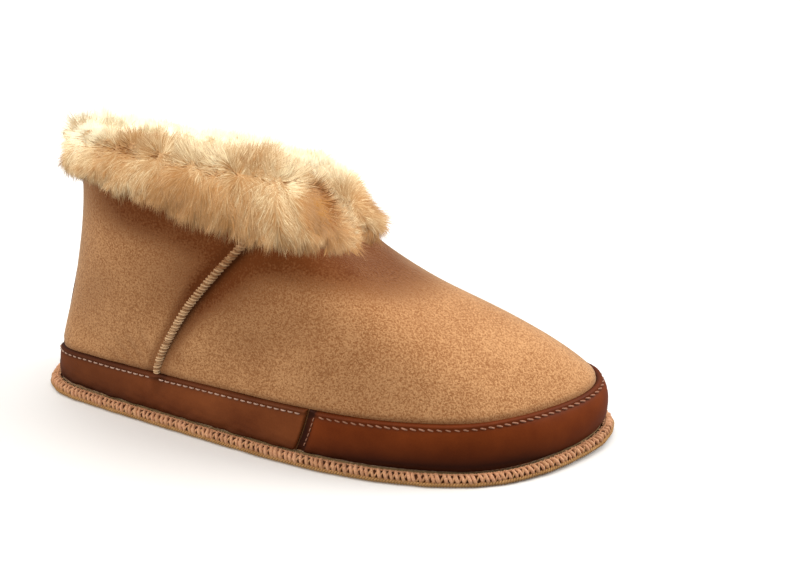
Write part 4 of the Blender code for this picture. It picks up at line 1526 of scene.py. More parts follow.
def cuff_sections(s):
    """The cuff's section at each s: its corners lie out and up from the collar or the hem, by the tables."""
    ones = np.ones_like(s)
    collar = upper_point(s, ones)
    along, rise = upper_slopes(s, ones)
    speed = np.linalg.norm(rise, axis=1)
    up = rise / speed[:, None]
    out = upper_normal(s, ones)
    for _ in range(2):
        out = 0.25 * np.roll(out, 1, 0) + 0.5 * out + 0.25 * np.roll(out, -1, 0)
    out = unit(out - up * (out * up).sum(1)[:, None])
    reach = np.minimum(s, 1.0 - s) * np.linalg.norm(along, axis=-1)
    row = cuff_row(s)
    thick = CUFF_THIN + (row["thick"] - CUFF_THIN) * smooth(reach, CUFF_THIN_HALF, CUFF_FULL_HALF)
    hem = upper_offset(s, 1.0 - row["hang"] / speed, 0.3)
    press = (thick / CUFF_CROWN_OUT)[:, None]
    lift = row["lift"][:, None] * UPWARD
    corners = []
    for aside, above, share, pressed in SECTION:
        corners.append(collar + out * aside * (press if pressed else 1.0) + up * above + lift * share)
    for share, above in HEM_SECTION:
        corners.append(hem + out * share * thick[:, None] + up * above)
    return np.stack(corners, 1)


def cuff_row(s):
    """The cuff table's values at each s, by column name."""
    rows = periodic_spline(column(CUFF, CUFF_COLUMNS, "s"), CUFF, np.ravel(s), 1.0)
    return {name: rows[:, k].reshape(np.shape(s)) for k, name in enumerate(CUFF_COLUMNS)}


def cuff_surface(around, across):
    """The cuff's smooth body as a grid of points, with s along rows and the section along columns."""
    s = s_by_length(around)
    corners = cuff_sections(s)
    count = corners.shape[1]
    at = np.arange(across) / across * count
    rows = corners.transpose(1, 0, 2).reshape(count, -1)
    fine = periodic_spline(np.arange(count), rows, at, count).reshape(across, around, 3)
    return s, fine.transpose(1, 0, 2)


def surface_normals(grid):
    """Unit normals and tangents of a grid that closes both ways."""
    along = np.roll(grid, -1, 0) - np.roll(grid, 1, 0)
    across = np.roll(grid, -1, 1) - np.roll(grid, 1, 1)
    return unit(np.cross(across, along)), unit(along), unit(across)


def read_grid(grid, row, col):
    """Values of a closed grid at fractional rows and columns, bilinear."""
    rows, columns = grid.shape[:2]
    i = np.floor(row).astype(int)
    j = np.floor(col).astype(int)
    u = (row - i)[..., None]
    v = (col - j)[..., None]
    i0, i1 = i % rows, (i + 1) % rows
    j0, j1 = j % columns, (j + 1) % columns
    low = grid[i0, j0] * (1 - u) + grid[i1, j0] * u
    high = grid[i0, j1] * (1 - u) + grid[i1, j1] * u
    return low * (1 - v) + high * v


def scatter(rng, rows, cols, margin=0.0):
    """Places on a unit square, one at random in each cell of a grid, as flat rows and columns."""
    row = (np.arange(rows)[:, None] + rng.uniform(margin, 1.0 - margin, (rows, cols))) / rows
    col = (np.arange(cols)[None, :] + rng.uniform(margin, 1.0 - margin, (rows, cols))) / cols
    return row.ravel(), col.ravel()


def clump_index(row, col, rows, cols, seed):
    """For places on a unit square that closes along its rows, the nearest clump, and all clumps' places."""
    centre_row, centre_col = scatter(np.random.default_rng(seed), rows, cols, 0.1)
    i = np.floor(row * rows).astype(int)
    j = np.floor(col * cols).astype(int)
    best = np.full(row.shape, np.inf)
    pick = np.zeros(row.shape, dtype=int)
    for di in (-1, 0, 1):
        for dj in (-1, 0, 1):
            clump = (i + di) % rows * cols + np.clip(j + dj, 0, cols - 1)
            gap_row = (row - centre_row[clump] + 0.5) % 1.0 - 0.5
            gap = (gap_row * rows) ** 2 + ((col - centre_col[clump]) * cols) ** 2
            pick = np.where(gap < best, clump, pick)
            best = np.minimum(gap, best)
    return pick, centre_row, centre_col


def ribbon_mesh(paths, facing, widths, tint, normals):
    """Tapered ribbons: pairs of points along each path, one at its tip; points, faces, map and normals."""
    count, steps = paths.shape[:2]
    tangent = unit(np.gradient(paths, axis=1))
    side = unit(np.cross(tangent, facing[:, None])) * 0.5
    taper = np.linspace(1.0, 0.0, steps) ** 0.6
    offset = side * (widths[:, None] * taper)[..., None]
    pairs = np.stack([paths[:, :-1] - offset[:, :-1], paths[:, :-1] + offset[:, :-1]], 2)
    points = np.concatenate([pairs.reshape(count, -1, 3), paths[:, -1:]], 1)
    per = points.shape[1]
    start = (np.arange(count) * per)[:, None]
    quads = [start + np.array([[2 * k, 2 * k + 1, 2 * k + 3, 2 * k + 2]]) for k in range(steps - 2)]
    tip = start + np.array([[per - 3, per - 2, per - 1]])
    faces = ([np.concatenate(quads)] if quads else []) + [tip]
    rise = np.repeat(np.linspace(0.0, 1.0, steps), 2)[:-1]
    uv = np.stack(np.broadcast_arrays(tint[:, None], rise), -1).reshape(-1, 2)
    return points.reshape(-1, 3), faces, uv, np.repeat(normals, per, axis=0)


def add_strands(name, paths, facing, widths, tint, normals, material):
    """Strands as one object. Wool scatters light on instead of blocking it, so they throw no shadow."""
    points, faces, uv, normals = ribbon_mesh(paths, facing, widths, tint, normals)
    piece = add_piece(name, points, faces, material, uv=uv, normals=normals)
    piece.visible_shadow = False
    piece.visible_diffuse = False


def grow(root, out, lay, length, bend, clump, clump_tip, pull, steps):
    """Strand paths: each leaves along out mixed with lay, bends to lay, and its tip leans to its clump's."""
    first = unit(out * (1.0 - 0.35 * bend)[:, None] + lay * bend[:, None])
    last = unit(out * 0.18 + lay)
    v = np.linspace(0.0, 1.0, steps)[None, :, None]
    knee = root + first * (0.5 * length)[:, None]
    tip = knee + (first * 0.25 + last * 0.75) * (0.5 * length)[:, None]
    target = clump_tip[clump]
    knee = knee + (target - knee) * (0.22 * pull)[:, None]
    tip = tip + (target - tip) * (0.72 * pull)[:, None]
    return (1 - v) ** 2 * root[:, None] + 2 * v * (1 - v) * knee[:, None] + v * v * tip[:, None]


def build_cuff(sizes, colours, wool):
    """The cuff: a soft lumpy body, and long wool strands over it in clumps."""
    around, across = 380, 44
    s, body = cuff_surface(around, across)
    section = np.arange(across)[None, :] / across
    lumps = 0.9 * waves(41, 60, 46, 5.0)(s[:, None], section)
    small = 0.4 * waves(43, 60, 120, 12.0)(s[:, None], section)
    body = body + surface_normals(body)[0] * (lumps + small - 0.4)[..., None]
    normal, along, run = surface_normals(body)
    # Painted light and shade, matching the strands: the inner face pale, the crown and outer face peach,
    # paler on the far side.
    deep = smooth(section, 0.30, 0.42) * (0.85 - 0.45 * smooth(s, 0.60, 0.70))[:, None]
    faces = [grid_quads(around, across, True, True)[:, ::-1]]
    tilted = unit(normal + 0.7 * UPWARD)
    piece = add_piece("wool_cuff_body", body, faces, wool, ["fur_cuff"], shade=deep, normals=tilted)
    piece.visible_shadow = False
    strands = wool_strand_material(colours)
    surface = (body, normal, run, along)
    rows, cols = sizes.wool_rows, sizes.wool_columns
    build_strands(sizes, surface, strands, "wool_under", 2, (rows + 500, cols + 30), 101, 0.70, 1.15)
    build_strands(sizes, surface, strands, "wool_over", 3, (rows, cols), 202, 1.0, 1.0)


def s_at_share(share):
    """The place s at a share of the way round the outline."""
    count = 2048
    return np.interp(share * count, np.arange(count + 1), np.append(s_by_length(count), 1.0))


def comb(surface, longest, row, col, s):
    """How the cuff's wool grows at places on it: row round it, col across it, and s round the shoe.

    It leans down on the outer face and inward on the inner one, sweeps back at the hem, stands higher on
    the crown's front, rises at the notch, and is short at the far side and under the strap.
    """
    body, normal, run, along = surface
    level = WOOL_FROM + (WOOL_TO - WOOL_FROM) * col
    place = (row * body.shape[0], level * body.shape[1])
    at = SimpleNamespace(s=s, level=level, root=read_grid(body, *place))
    at.out = unit(read_grid(normal, *place))
    at.sweep = unit(read_grid(along, *place))
    at.outer = smooth(level, 0.50, 0.66)
    at.hem = smooth(level, 0.72, 0.88)
    at.swirl = waves(53, 24, 22, 3.0)(row, col)
    inner = 1.0 - smooth(level, 0.28, 0.42)
    fine = waves(59, 30, 80, 6.0)(row, col)
    front = window(s, 0.20, 0.32, 0.68, 0.80) * (1.0 - smooth(level, 0.34, 0.58))
    far = window(s, 0.70, 0.76, 0.88, 0.94) * (1.0 - smooth(level, 0.50, 0.66))
    notch = np.exp(-(((s - NOTCH_AT) / NOTCH_HALF) ** 4)) * smooth(level, 0.50, 0.66)
    lay = unit(read_grid(run, *place)) * (0.20 + 0.70 * at.outer - 0.55 * inner)[:, None]
    lay = lay * (1.0 - 0.6 * notch)[:, None]
    lay[:, 2] += 0.5 * front + 0.6 * inner - (0.10 * at.outer + 0.35 * at.hem) * (1.0 - notch) + 0.25 * notch
    lay = lay + at.sweep * (0.26 * at.swirl + 0.16 * fine - 0.28 * at.hem)[:, None]
    at.lay = unit(lay + at.out * (0.75 - 0.40 * at.outer - 0.12 * at.hem)[:, None])
    heel = from_heel(s)
    under_strap = (1.0 - smooth(heel, 6.5, 12.0)) * smooth(level, 0.5, 0.7)
    beside_strap = window(heel, 6.0, 9.0, 18.0, 30.0) * smooth(level, 0.30, 0.45)
    length = longest * (0.80 - 0.15 * inner + 0.30 * at.hem) * (0.45 + 0.55 * cuff_row(s)["strand"])
    length = length * (1.0 - 0.6 * under_strap)
    above_hem = 1.0 - smooth(level, 0.70, 0.85)
    length = length * (1.0 + 0.45 * front - 0.55 * far + 0.6 * beside_strap * above_hem)
    at.length = length * (1.0 - 0.68 * notch)
    return at


def cuff_paths(rng, at, clump, clump_row, pick, steps):
    """The cuff's strands: each grows as it is combed, unevenly, and its tip leans to its clump's tip."""
    count = len(at.s)
    clumps = len(clump.s)
    at.lay = unit(at.lay + 0.16 * rng.standard_normal(at.lay.shape))
    crest = window(at.level, 0.30, 0.42, 0.55, 0.68)
    near = window(at.s, 0.06, 0.14, 0.36, 0.44)
    length = at.length * (1.0 + 0.12 * at.swirl + 0.3 * crest * near) * rng.uniform(0.62, 1.12, count)
    lay = unit(clump.lay + 0.20 * rng.standard_normal(clump.lay.shape))
    tuft = waves(67, 12, 90, 1.0)(clump_row, 0.0)
    reach = rng.uniform(0.85, 1.2, clumps) + clump.hem * (rng.uniform(-0.35, 0.60, clumps) + 0.9 * tuft)
    tip = clump.root + lay * (clump.length * reach)[:, None]
    pull = rng.uniform(0.15, 0.60, count) + 0.40 * at.hem
    bend = 0.25 + 0.45 * at.outer + 0.15 * at.hem
    return grow(at.root - at.out * 0.6, at.out, at.lay, length, bend, pick, tip, pull, steps)


def cuff_turns(rng, at):
    """Which way the ribbons face, and the normals that light them: out, and up on the crown.

    Near the outer lip and at the throat they face the side that they are seen from, because a ribbon's
    back is lit as if it faced away.
    """
    facing = at.out + at.sweep * (0.5 * rng.standard_normal(len(at.s)))[:, None]
    facing[:, 2] += 0.5 + 0.3 * (1.0 - smooth(at.level, 0.42, 0.62))
    away = upper_normal(at.s, np.ones_like(at.s)) * np.array([1.0, 1.0, 0.0])
    lip = window(at.s, 0.02, 0.08, 0.50, 0.56) * (1.0 - smooth(at.level, 0.50, 0.66))
    facing = facing + away * (2.2 * lip)[:, None]
    facing[:, 1] -= 2.0 * window(at.s, 0.47, 0.53, 0.64, 0.70) * (1.0 - smooth(at.level, 0.50, 0.64))
    facing = unit(facing)
    normals = at.out + 0.25 * at.lay + 0.25 * rng.standard_normal(at.out.shape) + 0.25 * facing
    normals[:, 2] += 0.10 + 1.30 * (1.0 - smooth(at.level, 0.46, 0.70))
    return facing, unit(normals)


def cuff_tint(rng, at, row, col, pick, clumps, paths):
    """The strands' tone, 0 stained to 1 white: painted light makes it paler inside, on the crown, on the far
    side and at the heel; it is deeper at the hem, partly painted shade.
    """
    s = at.s
    tone = rng.normal(0.0, 0.035, clumps)[pick] + rng.normal(0.0, 0.06, len(s))
    ahead = window(s, 0.22, 0.34, 0.62, 0.74)
    beyond = smooth(s, 0.63, 0.72)
    heel = 1.0 - smooth(np.minimum(s, 1.0 - s), 0.05, 0.13)
    lobe = window(s, 0.50, 0.55, 0.62, 0.70)
    painted_light_far_and_heel = np.maximum(beyond, heel)
    within = 1.0 - smooth(at.level, 0.28, 0.42)
    crown = (1.0 - smooth(at.level, 0.46 + 0.16 * beyond, 0.68 + 0.14 * beyond)) * (1.0 - within)
    spot = (paths[:, -2] - np.array(STAIN_AT)) / STAIN_RADIUS
    stain = np.exp(-0.5 * (spot * spot).sum(1))
    # Painted light: paler within, on the crown, on the far side and at the heel, a touch paler ahead and
    # darker at the lobe. The hem is deeper, partly painted shade and partly its own colour; stain, tone and
    # waves are the wool's own.
    tint = 0.61 + 0.27 * within + (0.14 + 0.21 * painted_light_far_and_heel) * crown + 0.12 * heel + 0.02 * ahead - 0.02 * lobe
    tint = tint - 0.18 * at.hem + tone - 0.43 * stain + 0.045 * waves(61, 20, 14, 2.0)(row, col)
    return np.clip(tint, 0.02, 0.98)


def build_strands(sizes, surface, material, name, steps, grid, seed, scale, wide):
    """One layer of the cuff's wool, from jittered roots all over the body's free face, in four objects."""
    rng = np.random.default_rng(seed)
    longest = sizes.wool_length / METRE * scale
    row, col = scatter(rng, *grid)
    pick, clump_row, clump_col = clump_index(row, col, *CLUMPS, seed + 1)
    at = comb(surface, longest, row, col, s_at_share(row))
    clump = comb(surface, longest, clump_row, clump_col, s_at_share(clump_row))
    paths = cuff_paths(rng, at, clump, clump_row, pick, steps)
    facing, normals = cuff_turns(rng, at)
    width = sizes.wool_width / METRE * wide * rng.uniform(0.7, 1.3, len(row))
    tint = cuff_tint(rng, at, row, col, pick, len(clump_row), paths)
    quarter = np.floor(np.mod(row + 0.125, 1.0) * 4).astype(int)
    for part, side in enumerate(("heel", "outer", "front", "inner")):
        chosen = [values[quarter == part] for values in (paths, facing, width, tint, normals)]
        add_strands(name + "_" + side, *chosen, material)


def build_pile(sizes, material):
    """The pile of the lining: strands that stand in from the wall, longest just inside the collar."""
    for name, steps, rows, cols, seed, low, reach in (
        ("wool_pile_deep", 2, 640, 70, 303, 0.35, 8.0),
        ("wool_pile_rim", 3, 560, 34, 404, 0.68, 13.0),
    ):
        rng = np.random.default_rng(seed)
        s, v = scatter(rng, rows, cols)
        t = low + (1.0 - low) * v
        normal = upper_normal(s, t)
        up = unit(upper_slopes(s, t)[1])
        root = upper_point(s, t) - normal * (WALL - 1.5)
        lay = unit(up * 0.55 - normal * 0.6 + rng.standard_normal(normal.shape) * 0.25)
        room = 1.0 - 0.6 * smooth(0.5 - np.abs(s - 0.5), 0.40, 0.5)
        length = (reach + 3.0 * smooth(t, 0.6, 1.0)) * rng.uniform(0.7, 1.15, len(s)) * room
        pick, clump_s, clump_v = clump_index(s, v, 150, cols // 3, seed + 1)
        clump_t = low + (1.0 - low) * clump_v
        tip = upper_point(clump_s, clump_t) - upper_normal(clump_s, clump_t) * (WALL + 0.45 * reach)
        tip = tip + unit(upper_slopes(clump_s, clump_t)[1]) * 0.5 * reach
        pull = rng.uniform(0.1, 0.65, len(s))
        paths = grow(root, -normal, lay, length, np.full(len(s), 0.5), pick, tip, pull, steps)
        facing = unit(up * 0.9 - normal + 0.3 * rng.standard_normal(normal.shape))
        shading = unit(up * 1.6 - 0.6 * normal + 0.25 * rng.standard_normal(normal.shape))
        # Painted light: the pile is paler near the collar, where it is lit from above.
        tint = np.clip(0.84 + 0.10 * smooth(t, 0.75, 1.0) + rng.normal(0, 0.05, len(s)), 0.02, 0.99)
        width = sizes.wool_width / METRE * 1.3 * rng.uniform(0.7, 1.3, len(s))
        add_strands(name, paths, facing, width, tint, shading, material)


def throat_bridge(ahead, across):
    """A low saddle between the collar's sides: ahead from behind to its front, across from outer to inner.

    It runs straight across from side to side, rises with part of the cuff's lift, and falls off behind.
    """
    s = 0.245 + 0.245 * ahead
    lateral = upper_offset(s, np.ones_like(s), -5.0)
    medial = upper_offset(1.0 - s, np.ones_like(s), -5.0)
    point = lateral * (1.0 - across)[:, None] + medial * across[:, None]
    rise = cuff_row(s)["lift"] * (1.0 - across) + cuff_row(1.0 - s)["lift"] * across
    point[:, 2] += 0.42 * rise + 2.0 - 16.0 * (1.0 - smooth(ahead, 0.0, 0.45))
    return point


def build_throat(sizes, wool, material):
    """Wool that meets across the throat: a low bridge, and strands on it that lean to the outer side."""
    rows, cols = 31, 25
    across, ahead = np.meshgrid(np.linspace(0.0, 1.0, cols), np.linspace(0.0, 1.0, rows))
    top = throat_bridge(ahead.ravel(), across.ravel()).reshape(rows, cols, 3)
    points, faces = slab(top, top - 2.0 * UPWARD)
    up = np.tile(UPWARD, (len(points), 1))
    shade = np.full(len(points), 0.25)
    piece = add_piece("wool_throat_body", points, flipped(faces), wool, shade=shade, normals=up)
    piece.visible_shadow = False
    rng = np.random.default_rng(505)
    ahead, across = scatter(rng, 100, 110)
    pick, clump_ahead, clump_across = clump_index(ahead, across, 14, 16, 506)
    count = len(ahead)
    clumps = len(clump_ahead)
    lean = np.array([0.30, -0.55, 0.60])
    lay = unit(lean + 0.28 * rng.standard_normal((count, 3)))
    clump_lay = unit(lean + 0.30 * rng.standard_normal((clumps, 3)))
    tip = throat_bridge(clump_ahead, clump_across) + clump_lay * 13.0
    length = 12.5 * rng.uniform(0.7, 1.15, count)
    pull = rng.uniform(0.1, 0.6, count)
    up = np.tile(UPWARD, (count, 1))
    paths = grow(throat_bridge(ahead, across), up, lay, length, np.full(count, 0.6), pick, tip, pull, 3)
    facing = unit(np.array([0.0, -0.5, 0.9]) + 0.4 * rng.standard_normal((count, 3)))
    normals = unit(up + 0.4 * lay + 0.25 * rng.standard_normal((count, 3)))
    # Painted light: paler towards the back of the bridge, where it lies in shade.
    tint = 0.74 + 0.16 * (1.0 - smooth(ahead, 0.15, 0.55))
    tint = tint + rng.normal(0, 0.05, count) + 0.05 * rng.standard_normal(clumps)[pick]
    width = sizes.wool_width / METRE * 1.2 * rng.uniform(0.7, 1.3, count)
    add_strands("wool_throat", paths, facing, width, np.clip(tint, 0.02, 0.98), normals, material)


# ---------------------------------------------------------------------------------------------------
# Settings
# ---------------------------------------------------------------------------------------------------

def length_setting(name, description, default):
    """A length in metres."""
    return FloatProperty(
        name=name, description=description, default=default, min=0.0, unit="LENGTH", precision=5,
    )


def angle_setting(name, description, degrees):
    """An angle."""
    return FloatProperty(name=name, description=description, default=math.radians(degrees), subtype="ANGLE")


def number_setting(name, description, default):
    """A plain number."""
    return FloatProperty(name=name, description=description, default=default)


def count_setting(name, description, default):
    """A whole number."""
    return IntProperty(name=name, description=description, default=default, min=8)


def colour_setting(name, description, default):
    """A colour."""
    return FloatVectorProperty(
        name=name, description=description, default=default, size=3, min=0.0, max=1.0, subtype="COLOR",
    )


class SlipperSizes(bpy.types.PropertyGroup):
    """Sizes that a user would change."""

    suede_around: count_setting("Suede around", "Places round the suede skin", 504)
    suede_levels: count_setting("Suede levels", "Levels up the suede skin", 84)
    crease_depth: number_setting("Crease depth", "Share of the creases' depth", 1.0)
    stitch_pitch: length_setting("Stitch pitch", "Distance between the band's stitches", 0.0034)
    thread: length_setting("Thread radius", "Radius of the stitching thread", 0.00036)
    seam_pitch: length_setting("Seam pitch", "Distance between the side seam's loops", 0.0019)
    loop_pitch: length_setting("Loop pitch", "Distance between the sole edge's loops", 0.0025)
    rib_radius: length_setting("Rib radius", "Radius of the sole edge's thread ribs", 0.00078)
    wool_length: length_setting("Wool length", "Length of the cuff's longest strands", 0.0115)
    wool_width: length_setting("Strand width", "Width of a strand at its root", 0.00030)
    wool_rows: count_setting("Strand rows", "Rows of strands round the collar", 900)
    wool_columns: count_setting("Strand columns", "Strands from inner to outer hem", 84)


class SlipperColours(bpy.types.PropertyGroup):
    """Colours of the slipper's materials."""

    suede_light: colour_setting("Suede light", "Brushed nap", (0.66, 0.352, 0.160))
    suede_deep: colour_setting("Suede deep", "Nap laid the other way", (0.36, 0.152, 0.056))
    suede_dark: colour_setting("Suede dark", "Folds and shaded places", (0.145, 0.038, 0.008))
    leather_light: colour_setting("Leather light", "Dyed leather, worn paler", (0.300, 0.084, 0.0225))
    leather_deep: colour_setting("Leather deep", "Dyed leather", (0.155, 0.035, 0.008))
    toe_leather_light: colour_setting("Toe leather light", "Redder leather of the toe", (0.255, 0.050, 0.007))
    toe_leather_deep: colour_setting("Toe leather deep", "The same, deeper", (0.130, 0.020, 0.002))
    # Leather dark: burnished edges, and painted shade on the band and in the sole edge's core.
    leather_burnish_and_shade: colour_setting("Leather dark", "Burnished edges", (0.035, 0.007, 0.002))
    # Wool white is also the palest tone of the painted light on the crown and inside.
    wool_white: colour_setting("Wool white", "Bleached tips", (0.96, 0.89, 0.68))
    wool_cream: colour_setting("Wool cream", "Crown of the cuff", (0.90, 0.71, 0.42))
    wool_peach: colour_setting("Wool peach", "Sides of the cuff", (0.545, 0.272, 0.098))
    wool_fringe: colour_setting("Wool fringe", "Pinkish hem of the cuff", (0.42, 0.205, 0.082))
    # Painted glow: emission that brightens the palest wool.
    wool_painted_glow: colour_setting("Wool glow", "Light passed on by the palest wool", (0.31, 0.265, 0.17))
    wool_stain: colour_setting("Wool stain", "Ochre stain", (0.56, 0.235, 0.03))
    # Wool deep is also the painted shade at the strands' roots.
    wool_deep: colour_setting("Wool deep", "Depth of the wool", (0.42, 0.23, 0.10))
    stitch_light: colour_setting("Stitch light", "Stitching thread", (0.62, 0.43, 0.34))
    stitch_dark: colour_setting("Stitch dark", "Stitching thread in shade", (0.36, 0.20, 0.14))
    toe_stitch_light: colour_setting("Toe stitch light", "Stitching thread of the toe", (0.52, 0.26, 0.17))
    toe_stitch_dark: colour_setting("Toe stitch dark", "The same in shade", (0.22, 0.10, 0.06))
    seam_light: colour_setting("Seam light", "Side seam thread", (0.86, 0.60, 0.36))
    seam_dark: colour_setting("Seam dark", "Side seam thread in shade", (0.52, 0.31, 0.155))
    # Seam shade: painted shade near the cuff, and the darker loops.
    seam_shade: colour_setting("Seam shade", "Side seam thread near the cuff", (0.30, 0.135, 0.055))
    seam_core: colour_setting("Seam core", "Edges inside the side seam", (0.42, 0.24, 0.12))
    edge_light: colour_setting("Edge light", "Sole edge thread, upper part", (0.86, 0.47, 0.26))
    edge_dark: colour_setting("Edge dark", "Sole edge thread, upper part in shade", (0.44, 0.185, 0.085))
    edge_ochre: colour_setting("Edge ochre", "Sole edge thread, lower part", (0.66, 0.38, 0.16))
    edge_ochre_dark: colour_setting("Edge ochre dark", "Sole edge, lower part in shade", (0.32, 0.15, 0.05))
    # Edge core: dark to paint the shade in the gaps between the ribs.
    edge_core: colour_setting("Edge core", "Core of the sole edge", (0.17, 0.066, 0.026))
    sole_light: colour_setting("Sole light", "Sole suede", (0.50, 0.34, 0.17))
    sole_deep: colour_setting("Sole deep", "Sole suede in shade", (0.33, 0.21, 0.10))
    copper: colour_setting("Copper", "Dot on the side tag", (0.83, 0.50, 0.36))
    copper_worn: colour_setting("Copper worn", "Worn parts of the dot", (0.95, 0.72, 0.58))


class SlipperStage(bpy.types.PropertyGroup):
    """Camera and light."""

    azimuth: angle_setting("Azimuth", "Camera angle round the slipper", 20.0)
    elevation: angle_setting("Elevation", "Camera angle above the floor", 22.5)
    distance: length_setting("Distance", "Camera distance", 0.698)
    aside: length_setting("Aside", "Camera's shift to its right", 0.0386)
    above: length_setting("Above", "Camera's shift upwards", 0.0111)
    lens: number_setting("Lens", "Focal length in millimetres", 72.0)
    surroundings: number_setting("Surroundings", "Strength of the white surroundings", 0.36)
    floor: colour_setting("Floor", "Pale floor", (0.93, 0.93, 0.925))
    floor_beyond: colour_setting("Floor beyond", "Its glow beyond the lamps' reach", (0.60, 0.60, 0.595))


# ---------------------------------------------------------------------------------------------------
# Operators
# ---------------------------------------------------------------------------------------------------

class SLIPPER_OT_suede(bpy.types.Operator):
    """Build the suede upper with its creases"""

    bl_idname = "slipper.suede"
    bl_label = "Suede upper"

    def execute(self, context):
        build_suede(context.scene.slipper_sizes, context.scene.slipper_colours)
        return {"FINISHED"}


class SLIPPER_OT_soles(bpy.types.Operator):
    """Build the sole plate, the insole and the wool lining"""

    bl_idname = "slipper.soles"
    bl_label = "Soles and lining"

    def execute(self, context):
        colours = context.scene.slipper_colours
        wool = wool_body_material(colours)
        build_soles(colours, wool)
        build_lining(wool)
        return {"FINISHED"}


class SLIPPER_OT_band(bpy.types.Operator):
    """Build the leather band and its stitches"""

    bl_idname = "slipper.band"
    bl_label = "Leather band"

    def execute(self, context):
        build_band(context.scene.slipper_sizes, context.scene.slipper_colours)
        return {"FINISHED"}


class SLIPPER_OT_strap(bpy.types.Operator):
    """Build the heel strap, pull loop and side tag"""

    bl_idname = "slipper.strap"
    bl_label = "Heel strap and tag"

    def execute(self, context):
        build_strap(context.scene.slipper_sizes, context.scene.slipper_colours)
        return {"FINISHED"}


class SLIPPER_OT_seams(bpy.types.Operator):
    """Build the overlocked side seams"""

    bl_idname = "slipper.seams"
    bl_label = "Side seams"

    def execute(self, context):
        build_seams(context.scene.slipper_sizes, context.scene.slipper_colours)
        return {"FINISHED"}


class SLIPPER_OT_edge(bpy.types.Operator):
    """Build the overlocked sole edge"""

    bl_idname = "slipper.edge"
    bl_label = "Sole edge"

    def execute(self, context):
        build_edge(context.scene.slipper_sizes, context.scene.slipper_colours)
        return {"FINISHED"}


class SLIPPER_OT_cuff(bpy.types.Operator):
    """Build the wool cuff and the pile inside"""

    bl_idname = "slipper.cuff"
    bl_label = "Wool cuff"

    def execute(self, context):
        sizes = context.scene.slipper_sizes
        colours = context.scene.slipper_colours
        wool = wool_body_material(colours)
        build_cuff(sizes, colours, wool)
        strands = wool_strand_material(colours)
        build_pile(sizes, strands)
        build_throat(sizes, wool, strands)
        return {"FINISHED"}


def add_lamp(name, place, size, power, colour):
    """A soft rectangular light at a place in metres, turned to the slipper."""
    light = bpy.data.lights.new(name, "AREA")
    light.shape = "RECTANGLE"
    light.size, light.size_y = size
    light.energy = power
    light.color = colour
    obj = bpy.data.objects.new(name, light)
    obj.location = place
    obj.rotation_euler = (Vector((0.0, 0.0, AIM_HEIGHT)) - Vector(place)).to_track_quat("-Z", "Y").to_euler()
    bpy.context.scene.collection.objects.link(obj)


def add_surface(name, points, faces, material):
    """A surface of the stage, which neither lights the slipper nor is reflected in it."""
    mesh = bpy.data.meshes.new(name)
    mesh.from_pydata(points, [], faces)
    mesh.materials.append(material)
    obj = bpy.data.objects.new(name, mesh)
    obj.visible_diffuse = False
    obj.visible_glossy = False
    bpy.context.scene.collection.objects.link(obj)
    return obj


def build_floor(stage):
    """A pale floor that glows beyond the lamps' reach, and a white wall round it where it ends."""
    half = FLOOR_HALF
    m = Shader("floor")
    away = m.node("ShaderNodeVectorMath", {"operation": "LENGTH"}, {0: m.place()}, 1)
    glow = m.mix(away.between(*FLOOR_GLOW), BLACK, stage.floor_beyond)
    pale = m.set(
        Base_Color=stage.floor, Roughness=0.9, Specular_IOR_Level=0.1,
        Emission_Color=glow, Emission_Strength=1.0,
    )
    corners = [(-half, -half, 0.0), (half, -half, 0.0), (half, half, 0.0), (-half, half, 0.0)]
    floor = add_surface("floor", corners, [(0, 1, 2, 3)], pale)
    white = Shader("backdrop").set(Base_Color=stage.floor, Emission_Color=WHITE, Emission_Strength=1.0)
    sides = 64
    turn = np.linspace(0.0, 2.0 * math.pi, sides + 1)[:-1]
    foot = WALL_RADIUS * np.stack([np.cos(turn), np.sin(turn), 0.0 * turn], -1)
    points = np.concatenate([foot, foot + WALL_HEIGHT * UPWARD])
    quads = grid_quads(2, sides, False, True)[:, ::-1]
    wall = add_surface("backdrop", points.tolist(), quads.tolist(), white)
    wall.visible_shadow = False


def build_camera(stage):
    """The camera, at its angles round the slipper's middle and shifted to its right and upwards."""
    a = stage.azimuth
    e = stage.elevation
    right = Vector((math.cos(a), math.sin(a), 0.0))
    back = Vector((math.sin(a) * math.cos(e), -math.cos(a) * math.cos(e), math.sin(e)))
    up = back.cross(right)
    data = bpy.data.cameras.new("camera")
    data.sensor_width = 36.0
    data.lens = stage.lens
    data.clip_start = 0.01
    data.clip_end = 50.0
    camera = bpy.data.objects.new("camera", data)
    place = Vector((CENTRE_X * METRE, CENTRE_Y * METRE, AIM_HEIGHT))
    place = place + right * stage.aside + up * stage.above + back * stage.distance
    camera.matrix_world = Matrix.Translation(place) @ Matrix((right, up, back)).transposed().to_4x4()
    bpy.context.scene.collection.objects.link(camera)
    bpy.context.scene.camera = camera


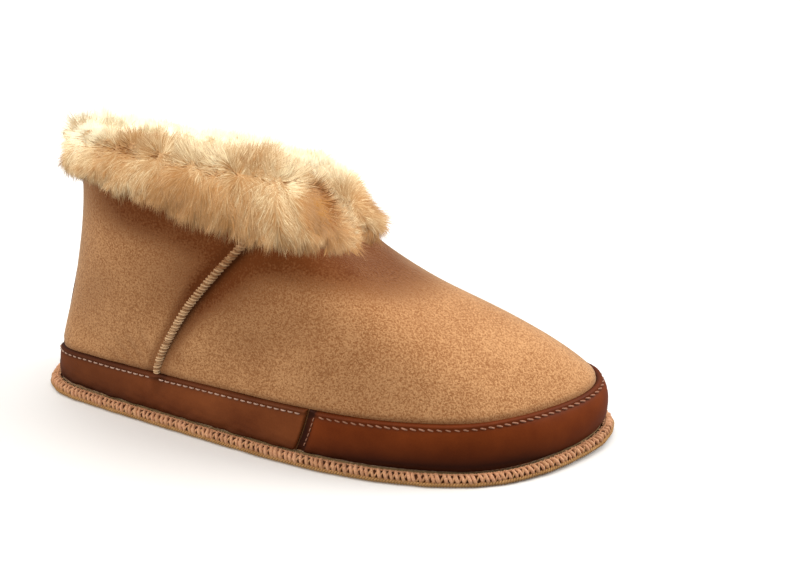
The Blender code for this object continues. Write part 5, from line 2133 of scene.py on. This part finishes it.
def build_stage(stage):
    """Pale floor, white surroundings, soft lights and the camera."""
    build_floor(stage)
    world = bpy.data.worlds.new("studio")
    world.use_nodes = True
    background = world.node_tree.nodes["Background"]
    background.inputs["Color"].default_value = (*WHITE, 1.0)
    background.inputs["Strength"].default_value = stage.surroundings
    bpy.context.scene.world = world
    for lamp in LAMPS:
        add_lamp(*lamp)
    build_camera(stage)
    bpy.context.scene.view_settings.view_transform = "Standard"


class SLIPPER_OT_stage(bpy.types.Operator):
    """Build the floor, the lights and the camera"""

    bl_idname = "slipper.stage"
    bl_label = "Stage"

    def execute(self, context):
        build_stage(context.scene.slipper_stage)
        return {"FINISHED"}


STEPS = (
    SLIPPER_OT_suede,
    SLIPPER_OT_soles,
    SLIPPER_OT_band,
    SLIPPER_OT_strap,
    SLIPPER_OT_seams,
    SLIPPER_OT_edge,
    SLIPPER_OT_cuff,
    SLIPPER_OT_stage,
)


class SLIPPER_PT_panel(bpy.types.Panel):
    """The slipper's settings and building steps"""

    bl_idname = "SLIPPER_PT_panel"
    bl_label = "Sheepskin slipper"
    bl_space_type = "VIEW_3D"
    bl_region_type = "UI"
    bl_category = "Slipper"

    def draw(self, context):
        for group in ("slipper_sizes", "slipper_colours", "slipper_stage"):
            settings = getattr(context.scene, group)
            box = self.layout.box()
            for key in settings.bl_rna.properties.keys():
                if key not in ("rna_type", "name"):
                    box.prop(settings, key)
        for step in STEPS:
            self.layout.operator(step.bl_idname)


CLASSES = (SlipperSizes, SlipperColours, SlipperStage) + STEPS + (SLIPPER_PT_panel,)


def register():
    """Register the classes and the settings that the scene holds."""
    for cls in CLASSES:
        bpy.utils.register_class(cls)
    bpy.types.Scene.slipper_sizes = PointerProperty(type=SlipperSizes)
    bpy.types.Scene.slipper_colours = PointerProperty(type=SlipperColours)
    bpy.types.Scene.slipper_stage = PointerProperty(type=SlipperStage)


def unregister():
    """Remove what register added."""
    del bpy.types.Scene.slipper_sizes
    del bpy.types.Scene.slipper_colours
    del bpy.types.Scene.slipper_stage
    for cls in reversed(CLASSES):
        bpy.utils.unregister_class(cls)


def main():
    """Build every piece in order."""
    register()
    for step in STEPS:
        group, name = step.bl_idname.split(".")
        result = getattr(getattr(bpy.ops, group), name)()
        if result != {"FINISHED"}:
            raise RuntimeError(step.bl_label + " did not finish")


if __name__ == "__main__":
    main()
